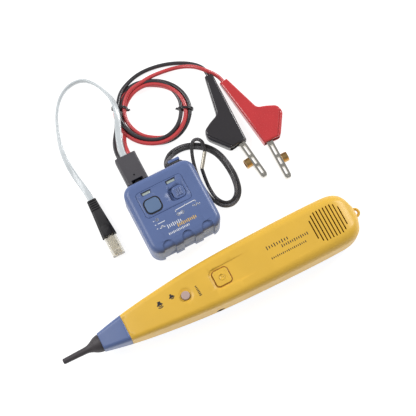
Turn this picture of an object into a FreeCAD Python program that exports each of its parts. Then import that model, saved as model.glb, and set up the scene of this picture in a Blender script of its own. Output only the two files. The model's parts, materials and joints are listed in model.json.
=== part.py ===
import FreeCAD, Part
import math
import os

# Tone probe kit: a toner (the sender) with its test leads, plug lead and lanyard, and the
# hand-held probe that belongs to it. All lengths are millimetres. The origin is the centre of
# the toner's flat back; +X runs along the probe from its tip to its hanging ring, +Y points
# from the toner to its lanyard lug, and +Z points away from the surface that the kit lies on.

Vec = FreeCAD.Vector

# Toner case.
toner_width = 58.0
toner_length = 58.0
toner_depth = 31.0
toner_corner = 8.5
toner_edge = 4.5
toner_wall = 2.0
toner_back_floor = 3.2
toner_split = 14.0
grip_width = 9.5
grip_pitch = 16.1
grip_depth = 1.2
grip_arch_top = -21.8

# Toner face.
panel_centre = (-2.2, 9.2)
panel_size = (38.4, 21.8)
mode_button_centre = (-12.5, 6.5)
mode_button_size = (11.6, 10.6)
seal_width = 0.7
slide_recess_centre = (7.7, 7.1)
slide_recess_size = (13.3, 10.5)
slide_recess_depth = 2.0
slide_knob_size = (9.6, 9.8)
lens_centres = ((-12.8, 17.2), (7.5, 17.2))
lens_size = (6.5, 2.0)
moving_gap = 0.3

# Toner fittings.
lug_x = 18.4
lug_neck = (7.5, 8.0)
lug_cap = (9.5, 12.0)
gland_x = -13.0
gland_radius = 4.0
block_size = (17.0, 23.0, 13.0)
block_start = 31.4
block_notch = (9.2, 2.3)
block_dimple = (-0.4, 5.8, 0.7)
gland_flange = (5.2, 1.0)
gland_rib = (4.5, 1.1, 2.1)
gland_ribs = 2
exit_xs = {"black": -17.4, "white": -13.2, "red": -9.0}
toner_cavity_edge = 2.5
toner_board_z = 22.6
toner_board_half = (18.5, 25.0)
toner_chips = ((-6.0, -14.0), (6.0, -8.0))
toner_screw_spots = (22.0, 21.5)
board_pins = ((-14.5, -17.0), (14.5, -17.0))
board_pin = (1.6, 6.0)
slide_pad_size = (17.0, 14.0)
slide_slot = (4.0, 11.5, 5.1, 9.1)
lens_pocket_size = (8.2, 3.2)
panel_groove = (0.45, 0.4)
knob_rib = (0.8, 6.0)
knob_rib_pitch = 1.7

# Case screws.
screw_post_radius = 3.0
screw_hole_radius = 1.15
screw_head_room = 2.5
screw_head = (2.1, 1.5)
screw_shank_radius = 1.1

# Standard nine-volt battery.
battery_width = 26.5
battery_thick = 17.5
battery_body = 46.4
battery_stud = 2.1
battery_edge = 1.6
stud_offset = 6.35
stud_radii = (2.8, 4.2)
snap_size = (25.0, 1.8, 12.0)

# Battery doors.
door_thick = 1.4
door_gap = 0.3
door_width = 29.0
door_rib = (9.0, 1.2, 2.4)
bay_half_width = 13.7
toner_door_end = 25.3
toner_bay_end = 24.9
toner_door_ribs = (-22.0, 5)
probe_door_start = 19.9
probe_door_end = 76.0
probe_bay = (23.4, 73.4)
probe_door_ribs = (66.0, 4)

# Circuit boards.
board_thick = 1.6

# Cords.
lead_diameter = 3.2
flat_cable_diameter = 3.4
lanyard_diameter = 2.5
ferrule_diameter = 3.0
coil_centre = (23.9, 80.8)
coil_outer = (31.0, 27.6)
coil_inner = (20.2, 17.4)
coil_bottom = 1.1
coil_height = 6.0
coil_turn = -27.5
tie_wire = 1.1

# Plug of the flat cable.
plug_x = -50.5
plug_width = 9.65
plug_height = 6.6
plug_tip = -9.4
plug_boot_end = 7.0
plug_boot_start = 38.5
plug_axis_z = 4.2
# Place along the boot, width and height of each section.
boot_sections = ((38.5, 7.4, 5.6), (29.0, 8.4, 6.6), (7.0, 11.6, 8.2))
boot_corner = 1.8
boot_grooves = 5
boot_groove = (1.6, 1.8, 0.7)
boot_tongue = (2.9, 13.0, 2.2)
plug_blades = 6
blade_pitch = 1.02
blade_half = 0.15
blade_length = 4.0
blade_height = 3.3
latch_seat = 1.4
latch_half_width = 1.65
latch_shoulder_half_width = 3.0
latch_profile = ((-1.2, 0.4), (0.6, 0.4), (13.4, 2.9), (13.4, 3.9), (2.0, 2.2), (-1.2, 1.5))
latch_shoulder = ((-1.2, 0.4), (0.6, 0.4), (5.4, 1.35), (5.4, 2.7), (2.0, 2.2), (-1.2, 1.5))

# Test clips, in their own frame: v runs along the straight side towards the jaws and
# u points to the flared side.
clip_axis_z = 4.9
clip_thick = 9.8
clip_neck = 6.5
clip_wall = 1.4
clip_outline = ((0.0, 0.0), (0.0, 60.7), (13.8, 63.0), (27.2, 47.2), (26.3, 40.6), (11.6, 32.4),
                (6.5, 0.0))
clip_inside = ((clip_wall, 16.0), (clip_wall, 70.0), (12.4, 70.0), (12.4, 62.0), (25.5, 46.6),
               (24.9, 41.5), (10.4, 33.6), (6.2, 16.0))
clip_corner = 2.4
clip_taper_end = 34.0
clip_hollow_start = 16.0
clip_hollow_half = 2.8
barrel_radius = 2.4
barrel_length = 17.0
barrel_u = 3.25
clip_pivot = (7.5, 55.0)
pin_radius = 1.25
pin_head = (2.0, 0.4)
ear_size = (3.0, 0.9)
fixed_plate = ((1.7, 17.0), (4.0, 17.0), (4.3, 50.0), (4.0, 61.6), (1.9, 61.6))
spring_coil = (2.6, 1.5)
pivot_play = 0.3
nail_bed_seat = (2.2, 77.3)
nail_bed_cup = (3.75, 4.6)
nail_bed_hollow = (2.6, 2.4)
jaw_root = (4.4, 61.0)
jaw_tip = (0.0, 93.6)
jaw_half = 2.5
jaw_gap = 0.3
jaw_depth = 5.0
jaw_windows = ((3.0, 8.5), (14.0, 6.0), (22.5, 6.5))
jaw_rail = 0.9
clip_places = {"red": ((80.8, 77.0), (0.124, -0.992), 1.0),
               "black": ((79.2, 87.0), (-0.028, -0.9996), -1.0)}

# Probe.
probe_y = -65.5
probe_axis_z = 16.0
probe_split = 5.0
probe_wall = 2.2
# Station along the probe, half width, lowest and highest height, and radius of the long edges.
probe_stations = (
    (-92.5, 6.8, 9.2, 22.8, 2.8),
    (-82.0, 8.8, 7.1, 24.9, 3.1),
    (-71.5, 10.6, 5.3, 26.8, 3.5),
    (-55.0, 12.9, 3.1, 28.7, 4.0),
    (-35.0, 15.2, 1.5, 30.1, 4.5),
    (-10.0, 17.5, 0.4, 31.2, 5.1),
    (20.0, 19.1, 0.0, 31.8, 5.9),
    (55.0, 20.0, 0.0, 32.0, 6.9),
    (85.0, 20.3, 0.0, 32.0, 7.7),
    (100.0, 20.1, 0.0, 32.0, 8.1),
    (108.0, 19.3, 0.4, 31.7, 8.4),
    (114.0, 16.7, 2.3, 30.0, 8.2),
    (118.0, 12.0, 5.6, 26.8, 7.4),
    (120.4, 6.4, 9.4, 22.8, 5.0),
)
probe_screw_seat = 2.2
probe_screws = ((-22.0, 0.0, 20.2), (14.0, -13.4, 40.0), (14.0, 13.4, 40.0), (111.0, 0.0, 23.0))
probe_ring_centre = 121.4
probe_ring_radius = 2.9
probe_ring_wire = 1.1
nose_start = -92.5
nose_end = -71.5
tip_end = -123.5
tip_round = ((-123.5, 0.9), (-123.2, 1.7), (-122.3, 2.15))
tip_flare = ((-106.5, 2.55), (-103.0, 2.95), (-99.8, 4.3), (-96.8, 5.9), (-94.4, 6.6), (-92.5, 6.8))
tip_flare_start = (16.0, 0.4)
tip_room = 3.0
sensor_radius = 1.2
sensor_core = (2.6, 24.0)
filter_x = -22.3
filter_radius = 3.3
power_x = 7.8
power_size = 12.0
wheel_x = -39.0
wheel_radius = 8.5
wheel_thick = 3.5
wheel_z = 16.2
jack_x = -2.3
jack_z = 9.0
jack_radius = 1.8
speaker_x = 96.7
speaker_radius = 13.0
slot_pitch = 2.7
slot_width = 1.0
slot_count = 10
button_travel = 0.8
probe_board_z = 20.5
probe_chip_xs = (-44.0, -6.0)
probe_battery_x = 24.0
probe_battery_floor = 3.6
probe_post_radius = 2.9
probe_rail = (19.0, 88.0, 16.0, 3.4)
rear_rib = (-23.0, -21.0, 17.0, 12.0)
front_rib = (111.0, 118.0, 1.0, 23.0)
filter_dish = (7.0, 4.2, 1.1, 31.1)
thumb_centre_x = 22.0
thumb_size = (46.0, 16.6)
thumb_slope = ((-2.0, 30.4), (46.0, 32.4), (46.0, 45.0), (-2.0, 45.0))
power_corner = 2.8
slot_reach = 14.4
slot_reach_least = 7.6
slot_reach_most = 12.1
jack_body = (3.3, 2.9, 12.0)
wheel_hub_radius = 2.1
wheel_teeth = 30
wheel_tooth_radius = 0.35
speaker_thick = 3.0
speaker_magnet = (6.0, 3.0)
power_low = 27.6
power_top = 31.5
power_symbol = (2.5, 2.0, 0.3)
filter_top = 31.8
filter_low = 27.0
switch_stem = (1.6, 0.6)
switch_height = 2.6


def box(x0, x1, y0, y1, z0, z1):
    """A box between two corners."""
    return Part.makeBox(x1 - x0, y1 - y0, z1 - z0, Vec(x0, y0, z0))


def rod(radius, length, base, direction=Vec(0, 0, 1)):
    """A round bar from base along direction."""
    return Part.makeCylinder(radius, length, base, direction)


def joined(shapes):
    """One solid from several that touch or overlap."""
    whole = shapes[0]
    for shape in shapes[1:]:
        whole = whole.fuse(shape)
    return whole.removeSplitter()


def without(shape, tools):
    """The shape with each tool cut away."""
    for tool in tools:
        shape = shape.cut(tool)
    return shape


def prism(points, z0, z1):
    """A straight-sided solid on a polygon of (x, y) points."""
    corners = [Vec(x, y, z0) for x, y in points]
    face = Part.Face(Part.makePolygon(corners + corners[:1]))
    return face.extrude(Vec(0, 0, z1 - z0))


def side_prism(points, x0, x1):
    """A solid on a polygon of (y, z) points, drawn out along X."""
    corners = [Vec(x0, y, z) for y, z in points]
    face = Part.Face(Part.makePolygon(corners + corners[:1]))
    return face.extrude(Vec(x1 - x0, 0, 0))


def rounded_wire(cx, cy, width, length, radius, z):
    """A closed rectangle with round corners, level at height z."""
    hx, hy = width / 2, length / 2
    diagonal = radius * (1 - math.sqrt(0.5))
    edges = []
    for turn in range(4):
        rotate = ((1, 0, 0, 1), (0, -1, 1, 0), (-1, 0, 0, -1), (0, 1, -1, 0))[turn]
        ax, ay = (hx, hy) if turn % 2 == 0 else (hy, hx)

        def at(x, y):
            return Vec(cx + rotate[0] * x + rotate[1] * y, cy + rotate[2] * x + rotate[3] * y, z)

        start = at(ax, -ay + radius)
        bend = at(ax, ay - radius)
        middle = at(ax - diagonal, ay - diagonal)
        end = at(ax - radius, ay)
        edges.append(Part.LineSegment(start, bend).toShape())
        edges.append(Part.Arc(bend, middle, end).toShape())
    return Part.Wire(edges)


def rounded_plate(centre, size, radius, z0, z1):
    """A flat plate with round corners."""
    wire = rounded_wire(centre[0], centre[1], size[0], size[1], radius, z0)
    return Part.Face(wire).extrude(Vec(0, 0, z1 - z0))


def round_level_edges(shape, height, radius):
    """Round every edge that lies level at one height."""
    edges = []
    for edge in shape.Edges:
        bounds = edge.BoundBox
        if abs(bounds.ZMin - height) < 1e-4 and abs(bounds.ZMax - height) < 1e-4:
            edges.append(edge)
    return shape.makeFillet(radius, edges)


def save(name, shape):
    """Write one node's STEP file."""
    shape.exportStep("parts/" + name + ".step")


def cord_tube(name, points, diameter):
    """A round cord on straight runs joined by tangent arcs."""
    spots = [Vec(*point) for point in points]
    edges = []
    start = spots[0]
    radii = []
    for before, corner, after in zip(spots, spots[1:], spots[2:]):
        back = corner - before
        ahead = after - corner
        turn = back.getAngle(ahead)
        reach = 0.45 * min(back.Length, ahead.Length)
        radius = reach / math.tan(turn / 2)
        back.normalize()
        ahead.normalize()
        arc_start = corner - back * reach
        arc_end = corner + ahead * reach
        inward = ahead - back
        inward.normalize()
        centre = corner + inward * (radius / math.cos(turn / 2))
        edges.append(Part.LineSegment(start, arc_start).toShape())
        edges.append(Part.Arc(arc_start, centre - inward * radius, arc_end).toShape())
        start = arc_end
        radii.append(radius)
    edges.append(Part.LineSegment(start, spots[-1]).toShape())
    path = Part.Wire(edges)
    section = Part.Wire(Part.makeCircle(diameter / 2, spots[0], spots[1] - spots[0]))
    tube = path.makePipeShell([section], True, False)
    expected = path.Length * math.pi * diameter ** 2 / 4
    print(name, "length", round(path.Length, 1), "smallest radius", round(min(radii), 1),
          "radii", [round(radius, 1) for radius in radii],
          "volume over expected", round(tube.Volume / expected, 4))
    save(name, tube)
    return tube


def toner_outside(inset, z0, z1, edge):
    """The toner's rounded block, shrunk by inset on each side."""
    size = (toner_width - 2 * inset, toner_length - 2 * inset)
    block = rounded_plate((0, 0), size, toner_corner - inset, z0, z1)
    block = round_level_edges(block, z0, edge)
    return round_level_edges(block, z1, edge)


def toner_grips():
    """The three arch-topped finger grips, cut into the face and round the bottom end."""
    shell = toner_outside(0.0, 0.0, toner_depth, toner_edge)
    core = toner_outside(grip_depth, grip_depth, toner_depth - grip_depth, toner_edge - grip_depth)
    skin = shell.cut(core)
    grips = []
    for step in (-1, 0, 1):
        x = 0.4 + step * grip_pitch
        half = grip_width / 2
        straight = box(x - half, x + half, -toner_length, grip_arch_top - half, -1, toner_depth + 1)
        arch = rod(half, toner_depth + 2, Vec(x, grip_arch_top - half, -1))
        grips.append(straight.fuse(arch).common(skin))
    return grips


def toner_lug():
    """The lanyard lug: a neck and a wider cap on the top end."""
    end = toner_length / 2
    neck = box(lug_x - lug_neck[0] / 2, lug_x + lug_neck[0] / 2, end - 1.0, end + 4.6,
               toner_split - lug_neck[1] / 2, toner_split + lug_neck[1] / 2)
    neck = neck.makeFillet(3.2, [edge for edge in neck.Edges if edge.BoundBox.YLength > 4])
    cap = box(lug_x - lug_cap[0] / 2, lug_x + lug_cap[0] / 2, end + 3.8, end + 6.2,
              toner_split - lug_cap[1] / 2, toner_split + lug_cap[1] / 2)
    cap = cap.makeFillet(0.8, cap.Edges)
    return neck.fuse(cap)


def toner_screw_places():
    """Centres of the toner's four case screws."""
    across, along = toner_screw_spots
    return [(x, y) for x in (-across, across) for y in (-along, along)]


def dovetail(width, y0, y1, z0, z1):
    """A plate wider at its top than at its bottom, along Y."""
    low, high = width / 2, width / 2 + (z1 - z0) * 0.6
    corners = [Vec(-low, y0, z0), Vec(low, y0, z0), Vec(high, y0, z1), Vec(-high, y0, z1)]
    face = Part.Face(Part.makePolygon(corners + corners[:1]))
    return face.extrude(Vec(0, y1 - y0, 0))


def toner_case():
    """Front cover, back cover and battery door of the toner."""
    outer = toner_outside(0.0, 0.0, toner_depth, toner_edge)
    outer = outer.fuse(toner_lug())
    outer = without(outer, toner_grips())
    cavity = toner_outside(toner_wall, toner_back_floor, toner_depth - toner_wall, toner_cavity_edge)
    case = outer.cut(cavity)
    posts = []
    for x, y in toner_screw_places():
        posts.append(rod(screw_post_radius, toner_depth - 4.0, Vec(x, y, 2.0)).common(outer))
    for x, y in board_pins:
        posts.append(rod(board_pin[0], board_pin[1], Vec(x, y, toner_board_z + board_thick)).common(outer))
    case = joined([case] + posts)
    screws = [rod(screw_hole_radius, 20.0, Vec(x, y, -1.0)) for x, y in toner_screw_places()]
    heads = [rod(screw_head_room, 4.0, Vec(x, y, -1.0)) for x, y in toner_screw_places()]
    hole = rod(gland_radius, 6.0, Vec(gland_x, toner_length / 2 - 4.0, toner_split), Vec(0, 1, 0))
    case = without(case, screws + heads + [hole])
    wide = 100.0
    front = case.common(box(-wide, wide, -wide, wide, toner_split, 50))
    back = case.common(box(-wide, wide, -wide, wide, -5, toner_split))

    pad = rounded_plate(slide_recess_centre, slide_pad_size, 3.0, toner_depth - 3.6, toner_depth - 1.0)
    front = joined([front, pad.cut(box(13.9, 17, 0, 8, 0, 26))])
    seal_hole = [side + 2 * (moving_gap + seal_width) for side in mode_button_size]
    cuts = [rounded_plate(mode_button_centre, seal_hole, 4.2, toner_split, 40)]
    cuts.append(rounded_plate(slide_recess_centre, slide_recess_size, 3.5,
                              toner_depth - slide_recess_depth, 40))
    cuts.append(box(*slide_slot, 20, 40))
    for centre in lens_centres:
        cuts.append(rounded_plate(centre, lens_pocket_size, 0.8, toner_depth - 0.7, 40))
        cuts.append(rounded_plate(centre, lens_size, 0.5, 20, 40))
    groove_width, groove_depth = panel_groove
    ring = rounded_plate(panel_centre, panel_size, 3.0, toner_depth - groove_depth, 40)
    inside = [side - 2 * groove_width for side in panel_size]
    ring = ring.cut(rounded_plate(panel_centre, inside, 2.6, toner_depth - 1, 41))
    front = without(front, cuts + [ring])
    save("toner_front_cover", front)

    recess = dovetail(door_width, -toner_length, toner_door_end + door_gap, -0.5, door_thick + 0.5)
    opening = box(-bay_half_width, bay_half_width, -toner_bay_end, toner_bay_end, -1,
                  toner_back_floor + 1)
    save("toner_back_cover", without(back, [recess, opening]))

    door = dovetail(door_width - 2 * door_gap, -toner_door_end - 0.1, toner_door_end, 0.0, door_thick)
    half, rib_width, pitch = door_rib
    first, count = toner_door_ribs
    starts = [first + pitch * row for row in range(count)]
    ribs = [box(-half, half, start, start + rib_width, -0.1, 0.5) for start in starts]
    save("toner_battery_door", without(door, ribs))


def battery(name, place, turn):
    """A nine-volt battery with its two studs, its length along the turned Y axis."""
    half_w, half_t = battery_width / 2, battery_thick / 2
    body = box(-half_w, half_w, 0, battery_body, -half_t, half_t)
    body = body.makeFillet(battery_edge, [edge for edge in body.Edges if edge.BoundBox.YLength > 10])
    small = rod(stud_radii[0], battery_stud, Vec(-stud_offset, battery_body, 0), Vec(0, 1, 0))
    large = rod(stud_radii[1], battery_stud, Vec(stud_offset, battery_body, 0), Vec(0, 1, 0))
    snap_width, snap_length, snap_thick = snap_size
    snap_y = battery_body + battery_stud
    snap = box(-snap_width / 2, snap_width / 2, snap_y, snap_y + snap_length, -snap_thick / 2,
               snap_thick / 2)
    whole = joined([body, small, large])
    for shape, label in ((whole, name), (snap, name + "_snap")):
        shape.rotate(Vec(0, 0, 0), Vec(0, 0, 1), turn)
        shape.translate(place)
        save(label, shape)


def screw(x, y, z, length):
    """A case screw standing upright, its head down."""
    head = rod(screw_head[0], screw_head[1], Vec(x, y, z))
    shank = rod(screw_shank_radius, length, Vec(x, y, z + screw_head[1]))
    return joined([head, shank])


def toner_inside():
    """Board, switches, lamps, lenses, battery and screws of the toner."""
    top = toner_board_z + board_thick
    half_x, half_y = toner_board_half
    board = box(-half_x, half_x, -half_y, half_y + 0.5, toner_board_z, top)
    for x, y in toner_chips:
        board = board.fuse(box(x - 4, x + 4, y - 3, y + 3, top, top + board_thick))
    save("toner_circuit_board", board.removeSplitter())
    bx, by = mode_button_centre
    mode_switch = joined([box(bx - 3, bx + 3, by - 3, by + 3, top, top + 1.2),
                          rod(1.6, 0.6, Vec(bx, by, top + 1.2))])
    save("toner_mode_switch", mode_switch)
    slide_body = box(3.0, 12.5, 3.9, 10.3, top, top + 2.4)
    channel = box(3.7, 11.8, 5.0, 9.2, top + 1.0, top + 3)
    save("toner_slide_switch", slide_body.cut(channel))
    lamps = []
    for x, y in lens_centres:
        lamps.append(joined([rod(1.4, 3.4, Vec(x, y, top)), Part.makeSphere(1.4, Vec(x, y, top + 3.4))]))
    save("toner_leds", Part.makeCompound(lamps))
    for (x, y), label in zip(lens_centres, ("toner_mode_lens", "toner_test_lens")):
        save(label, rounded_plate((x, y), lens_size, 0.5, toner_depth - 2.0, toner_depth - 0.55))
    battery("toner_battery", Vec(0, -24.6, toner_back_floor + 0.3 + battery_thick / 2), 0)
    screws = [screw(x, y, 1.5, 13.5) for x, y in toner_screw_places()]
    save("toner_case_screws", Part.makeCompound(screws))


def toner_controls():
    """The mode button with its seal, and the slide switch knob."""
    outer = [side + 2 * (moving_gap + seal_width) for side in mode_button_size]
    inner = [side + 2 * moving_gap for side in mode_button_size]
    seal = rounded_plate(mode_button_centre, outer, 4.2, toner_depth - 2.2, toner_depth + 0.2)
    seal = seal.cut(rounded_plate(mode_button_centre, inner, 3.6, 20, 40))
    save("toner_button_seal", seal)
    cap = rounded_plate(mode_button_centre, mode_button_size, 3.4, toner_depth - 3.4, toner_depth + 0.9)
    cap = round_level_edges(cap, toner_depth + 0.9, 0.6)
    flange = rounded_plate(mode_button_centre, [side + 0.6 for side in inner], 3.6,
                           toner_depth - 3.4, toner_depth - 2.6)
    bx, by = mode_button_centre
    stem = rod(2.0, 1.0, Vec(bx, by, toner_depth - 4.0))
    save("toner_mode_button", joined([cap, flange, stem]))

    cx = slide_recess_centre[0] + (slide_recess_size[0] - slide_knob_size[0]) / 2 - moving_gap
    cy = slide_recess_centre[1]
    base = toner_depth - slide_recess_depth + moving_gap
    knob = rounded_plate((cx, cy), slide_knob_size, 3.2, base, toner_depth + 0.3)
    knob = round_level_edges(knob, toner_depth + 0.3, 0.5)
    for step in (-1, 0, 1):
        knob = knob.fuse(rounded_plate((cx + 0.2 + knob_rib_pitch * step, cy), knob_rib, 0.38,
                                       toner_depth, toner_depth + 0.8))
    stem = box(cx - 1.5, cx + 1.5, cy - 1.5, cy + 1.5, 25.6, base)
    save("toner_slide_knob", joined([knob, stem]))


def lead_gland_and_block():
    """The ribbed gland in the toner's top end and the moulded junction of the three leads."""
    axis = Vec(0, 1, 0)
    end = toner_length / 2
    stem = rod(gland_radius, block_start + block_notch[1] - end + 3.0,
               Vec(gland_x, end - 3.0, toner_split), axis)
    flange = rod(gland_flange[0], gland_flange[1], Vec(gland_x, end - 3.0, toner_split), axis)
    rib_radius, rib_length, rib_pitch = gland_rib
    ribs = []
    for step in range(gland_ribs):
        ribs.append(rod(rib_radius, rib_length, Vec(gland_x, end + 0.3 + rib_pitch * step, toner_split),
                        axis))
    save("toner_lead_gland", joined([stem, flange] + ribs))

    width, length, height = block_size
    block = box(gland_x - width / 2, gland_x + width / 2, block_start, block_start + length,
                toner_split - height / 2, toner_split + height / 2)
    block = block.makeFillet(1.6, [edge for edge in block.Edges if edge.BoundBox.YLength > 10])
    half = block_notch[0] / 2
    notch_end = block_start + block_notch[1]
    notch = box(gland_x - half, gland_x + half, 0, notch_end, -5, 40)
    dimple_x, dimple_y, dimple_radius = block_dimple
    dimple = rod(dimple_radius, 1.2, Vec(gland_x + dimple_x, block_start + dimple_y,
                                         toner_split + height / 2 - 1.0))
    save("lead_junction_block", without(block, [notch, dimple]))


def clip_neck_point(colour, distance):
    """A point on the axis of a clip's neck, at a distance outside its end."""
    (x, y), (hx, hy), hand = clip_places[colour]
    across_x, across_y = -hy * hand, hx * hand
    middle = clip_neck / 2
    return (x + middle * across_x - distance * hx, y + middle * across_y - distance * hy, clip_axis_z)


def test_leads():
    """The red and black leads: uncoiled stretches, coil and ties."""
    exit_y = block_start + block_size[1]
    z = toner_split
    cord_tube("red_lead_in", ((exit_xs["red"], exit_y, z), (exit_xs["red"], exit_y + 4.0, z),
                              (-8.2, 64.5, 10.4), (-6.2, 70.4, 6.4), (-3.4, 75.4, 4.4)), lead_diameter)
    cord_tube("black_lead_in", ((exit_xs["black"], exit_y, z), (exit_xs["black"], exit_y + 4.0, z),
                                (-16.5, 64.8, 9.8), (-14.4, 71.2, 5.4), (-10.8, 77.4, 3.2),
                                (-6.9, 83.4, 3.4)), lead_diameter)
    red_neck = clip_neck_point("red", 0.0)
    black_neck = clip_neck_point("black", 0.0)
    cord_tube("red_lead_out", ((26.6, 108.2, 4.6), (33.6, 108.9, 3.6), (44.0, 108.0, 2.8),
                               (56.6, 105.2, 3.6), (65.8, 101.4, 6.2), (73.0, 96.2, 8.8),
                               (80.2, 90.4, 8.8), clip_neck_point("red", 6.0), red_neck),
              lead_diameter)
    cord_tube("black_lead_out", ((6.4, 104.8, 4.4), (14.2, 110.4, 3.2), (26.8, 115.1, 1.8),
                                 (40.0, 115.0, 1.7), (53.2, 112.0, 1.7), (64.6, 106.8, 1.7),
                                 (71.6, 101.6, 1.8), (75.2, 96.6, 2.8),
                                 clip_neck_point("black", 4.6), black_neck), lead_diameter)
    rings = []
    for axes in (coil_outer, coil_inner):
        ellipse = Part.Ellipse(Vec(0, 0, coil_bottom), axes[0], axes[1])
        rings.append(Part.Face(Part.Wire(ellipse.toShape())).extrude(Vec(0, 0, coil_height)))
    coil = rings[0].cut(rings[1])
    coil = round_level_edges(coil, coil_bottom + coil_height, 1.6)
    ties = []
    for side in (-1, 1):
        near = coil_inner[0] if side > 0 else -coil_outer[0]
        far = coil_outer[0] if side > 0 else -coil_inner[0]
        frame = box(near - tie_wire, far + tie_wire, -tie_wire / 2, tie_wire / 2,
                    0, coil_bottom + coil_height + tie_wire)
        inside = box(near - 0.02, far + 0.02, -5, 5, coil_bottom, coil_bottom + coil_height)
        ties.append(frame.cut(inside))
    for shape in [coil] + ties:
        shape.rotate(Vec(0, 0, 0), Vec(0, 0, 1), coil_turn)
        shape.translate(Vec(coil_centre[0], coil_centre[1], 0))
    save("lead_coil", coil)
    save("coil_ties", Part.makeCompound(ties))


def plug_lead():
    """The flat cable with its boot, plug, contacts and latch."""
    exit_y = block_start + block_size[1]
    cord_tube("flat_cable", ((exit_xs["white"], exit_y, toner_split),
                             (exit_xs["white"], exit_y + 7.0, toner_split),
                             (-9.4, 73.4, 13.0), (-4.4, 84.5, 11.4), (-0.9, 94.6, 10.4),
                             (-0.2, 104.0, 9.4), (-3.0, 114.6, 7.4), (-7.2, 123.6, 5.2),
                             (-13.0, 130.0, 3.6), (-20.6, 131.8, 2.8), (-29.6, 129.6, 2.6),
                             (-38.0, 122.8, 2.6), (-44.8, 112.6, 2.6), (-49.8, 99.8, 2.6),
                             (-53.2, 86.6, 2.6), (-54.0, 73.4, 2.6), (-52.9, 60.8, 2.8),
                             (-51.3, 50.6, 3.6), (plug_x, plug_boot_start + 6.0, plug_axis_z),
                             (plug_x, plug_boot_start, plug_axis_z)),
              flat_cable_diameter)
    wires = []
    for y, width, height in boot_sections:
        wire = rounded_wire(0, 0, width, height, boot_corner, 0)
        wire.rotate(Vec(0, 0, 0), Vec(1, 0, 0), 90)
        wire.translate(Vec(plug_x, y, plug_axis_z))
        wires.append(wire)
    boot = Part.makeLoft(wires, True, True)
    half, tongue_end, tongue_thick = boot_tongue
    tongue_z = plug_axis_z + 2.8
    tongue = joined([box(plug_x - half, plug_x + half, plug_boot_end, tongue_end, tongue_z,
                         tongue_z + tongue_thick),
                     rod(half, tongue_thick, Vec(plug_x, tongue_end, tongue_z))])
    boot = joined([boot, tongue])
    first, pitch, width = boot_groove
    grooves = []
    for step in range(boot_grooves):
        y = plug_boot_start - first - pitch * step
        ring = box(plug_x - 8, plug_x + 8, y - width / 2, y + width / 2, -2, 12)
        core = box(plug_x - 3.1 - 0.1 * step, plug_x + 3.1 + 0.1 * step, y - 1, y + 1,
                   plug_axis_z - 2.3 - 0.1 * step, plug_axis_z + 2.3 + 0.1 * step)
        grooves.append(ring.cut(core))
    body = box(plug_x - plug_width / 2, plug_x + plug_width / 2, plug_tip, plug_boot_end + 6.0,
               plug_axis_z - plug_height / 2, plug_axis_z + plug_height / 2)
    save("plug_boot", without(boot, grooves + [body]))
    low = plug_axis_z - plug_height / 2
    blades = []
    slots = []
    for step in range(plug_blades):
        x = plug_x + (step - (plug_blades - 1) / 2) * blade_pitch
        start = plug_tip + 0.4
        top = low + 0.3 + blade_height
        blades.append(box(x - blade_half, x + blade_half, start, start + blade_length, low + 0.3, top))
        slots.append(box(x - blade_half, x + blade_half, start, start + blade_length, low - 1, top))
    channel = box(plug_x - 3.3, plug_x + 3.3, plug_tip + 5.4, plug_boot_end + 7, low + 1.2, low + 3.6)
    slot = box(plug_x - 3.6, plug_x + 3.6, plug_tip - 1, plug_boot_end + 0.2,
               low + plug_height - latch_seat, low + plug_height + 1)
    save("plug_body", without(body, slots + [channel, slot]))
    save("plug_contacts", Part.makeCompound(blades))
    hinge_y = plug_tip + 1.6
    floor = low + plug_height - latch_seat
    bars = []
    for profile, half in ((latch_profile, latch_half_width), (latch_shoulder, latch_shoulder_half_width)):
        spots = [(hinge_y + y, floor + z) for y, z in profile]
        bars.append(side_prism(spots, plug_x - half, plug_x + half))
    save("plug_latch", joined(bars))


def on_clip(shape, colour):
    """Place a shape drawn in the clip's own frame; the two clips mirror each other."""
    (x, y), (hx, hy), hand = clip_places[colour]
    if hand > 0:
        shape = shape.mirror(Vec(0, 0, 0), Vec(1, 0, 0))
    else:
        shape = shape.copy()
    shape.rotate(Vec(0, 0, 0), Vec(0, 0, 1), math.degrees(math.atan2(-hx, hy)))
    shape.translate(Vec(x, y, 0))
    return shape


def clip_boot():
    """The flared vinyl boot, hollow and open at the jaws."""
    whole = prism(clip_outline, 0, clip_thick)
    edges = []
    for edge in whole.Edges:
        if edge.BoundBox.ZLength > 5:
            x = edge.BoundBox.XMin
            if min(abs(x - corner[0]) for corner in clip_outline[2:5]) < 0.1:
                edges.append(edge)
    whole = whole.makeFillet(clip_corner, edges)
    neck_low, neck_high = clip_axis_z - clip_neck / 2, clip_axis_z + clip_neck / 2
    full = clip_taper_end
    taper = side_prism(((-1, neck_low), (0, neck_low), (full, 0), (70, 0), (70, clip_thick),
                        (full, clip_thick), (0, neck_high), (-1, neck_high)), -5, 40)
    whole = whole.common(taper)
    inner = prism(clip_inside, 0, clip_thick)
    inner_taper = side_prism(((clip_hollow_start, clip_axis_z - clip_hollow_half), (full, clip_wall),
                              (80, clip_wall), (80, clip_thick - clip_wall),
                              (full, clip_thick - clip_wall),
                              (clip_hollow_start, clip_axis_z + clip_hollow_half)), -5, 40)
    barrel = rod(barrel_radius, barrel_length, Vec(barrel_u, 0, clip_axis_z), Vec(0, 1, 0))
    return without(whole, [inner.common(inner_taper), barrel])


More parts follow.
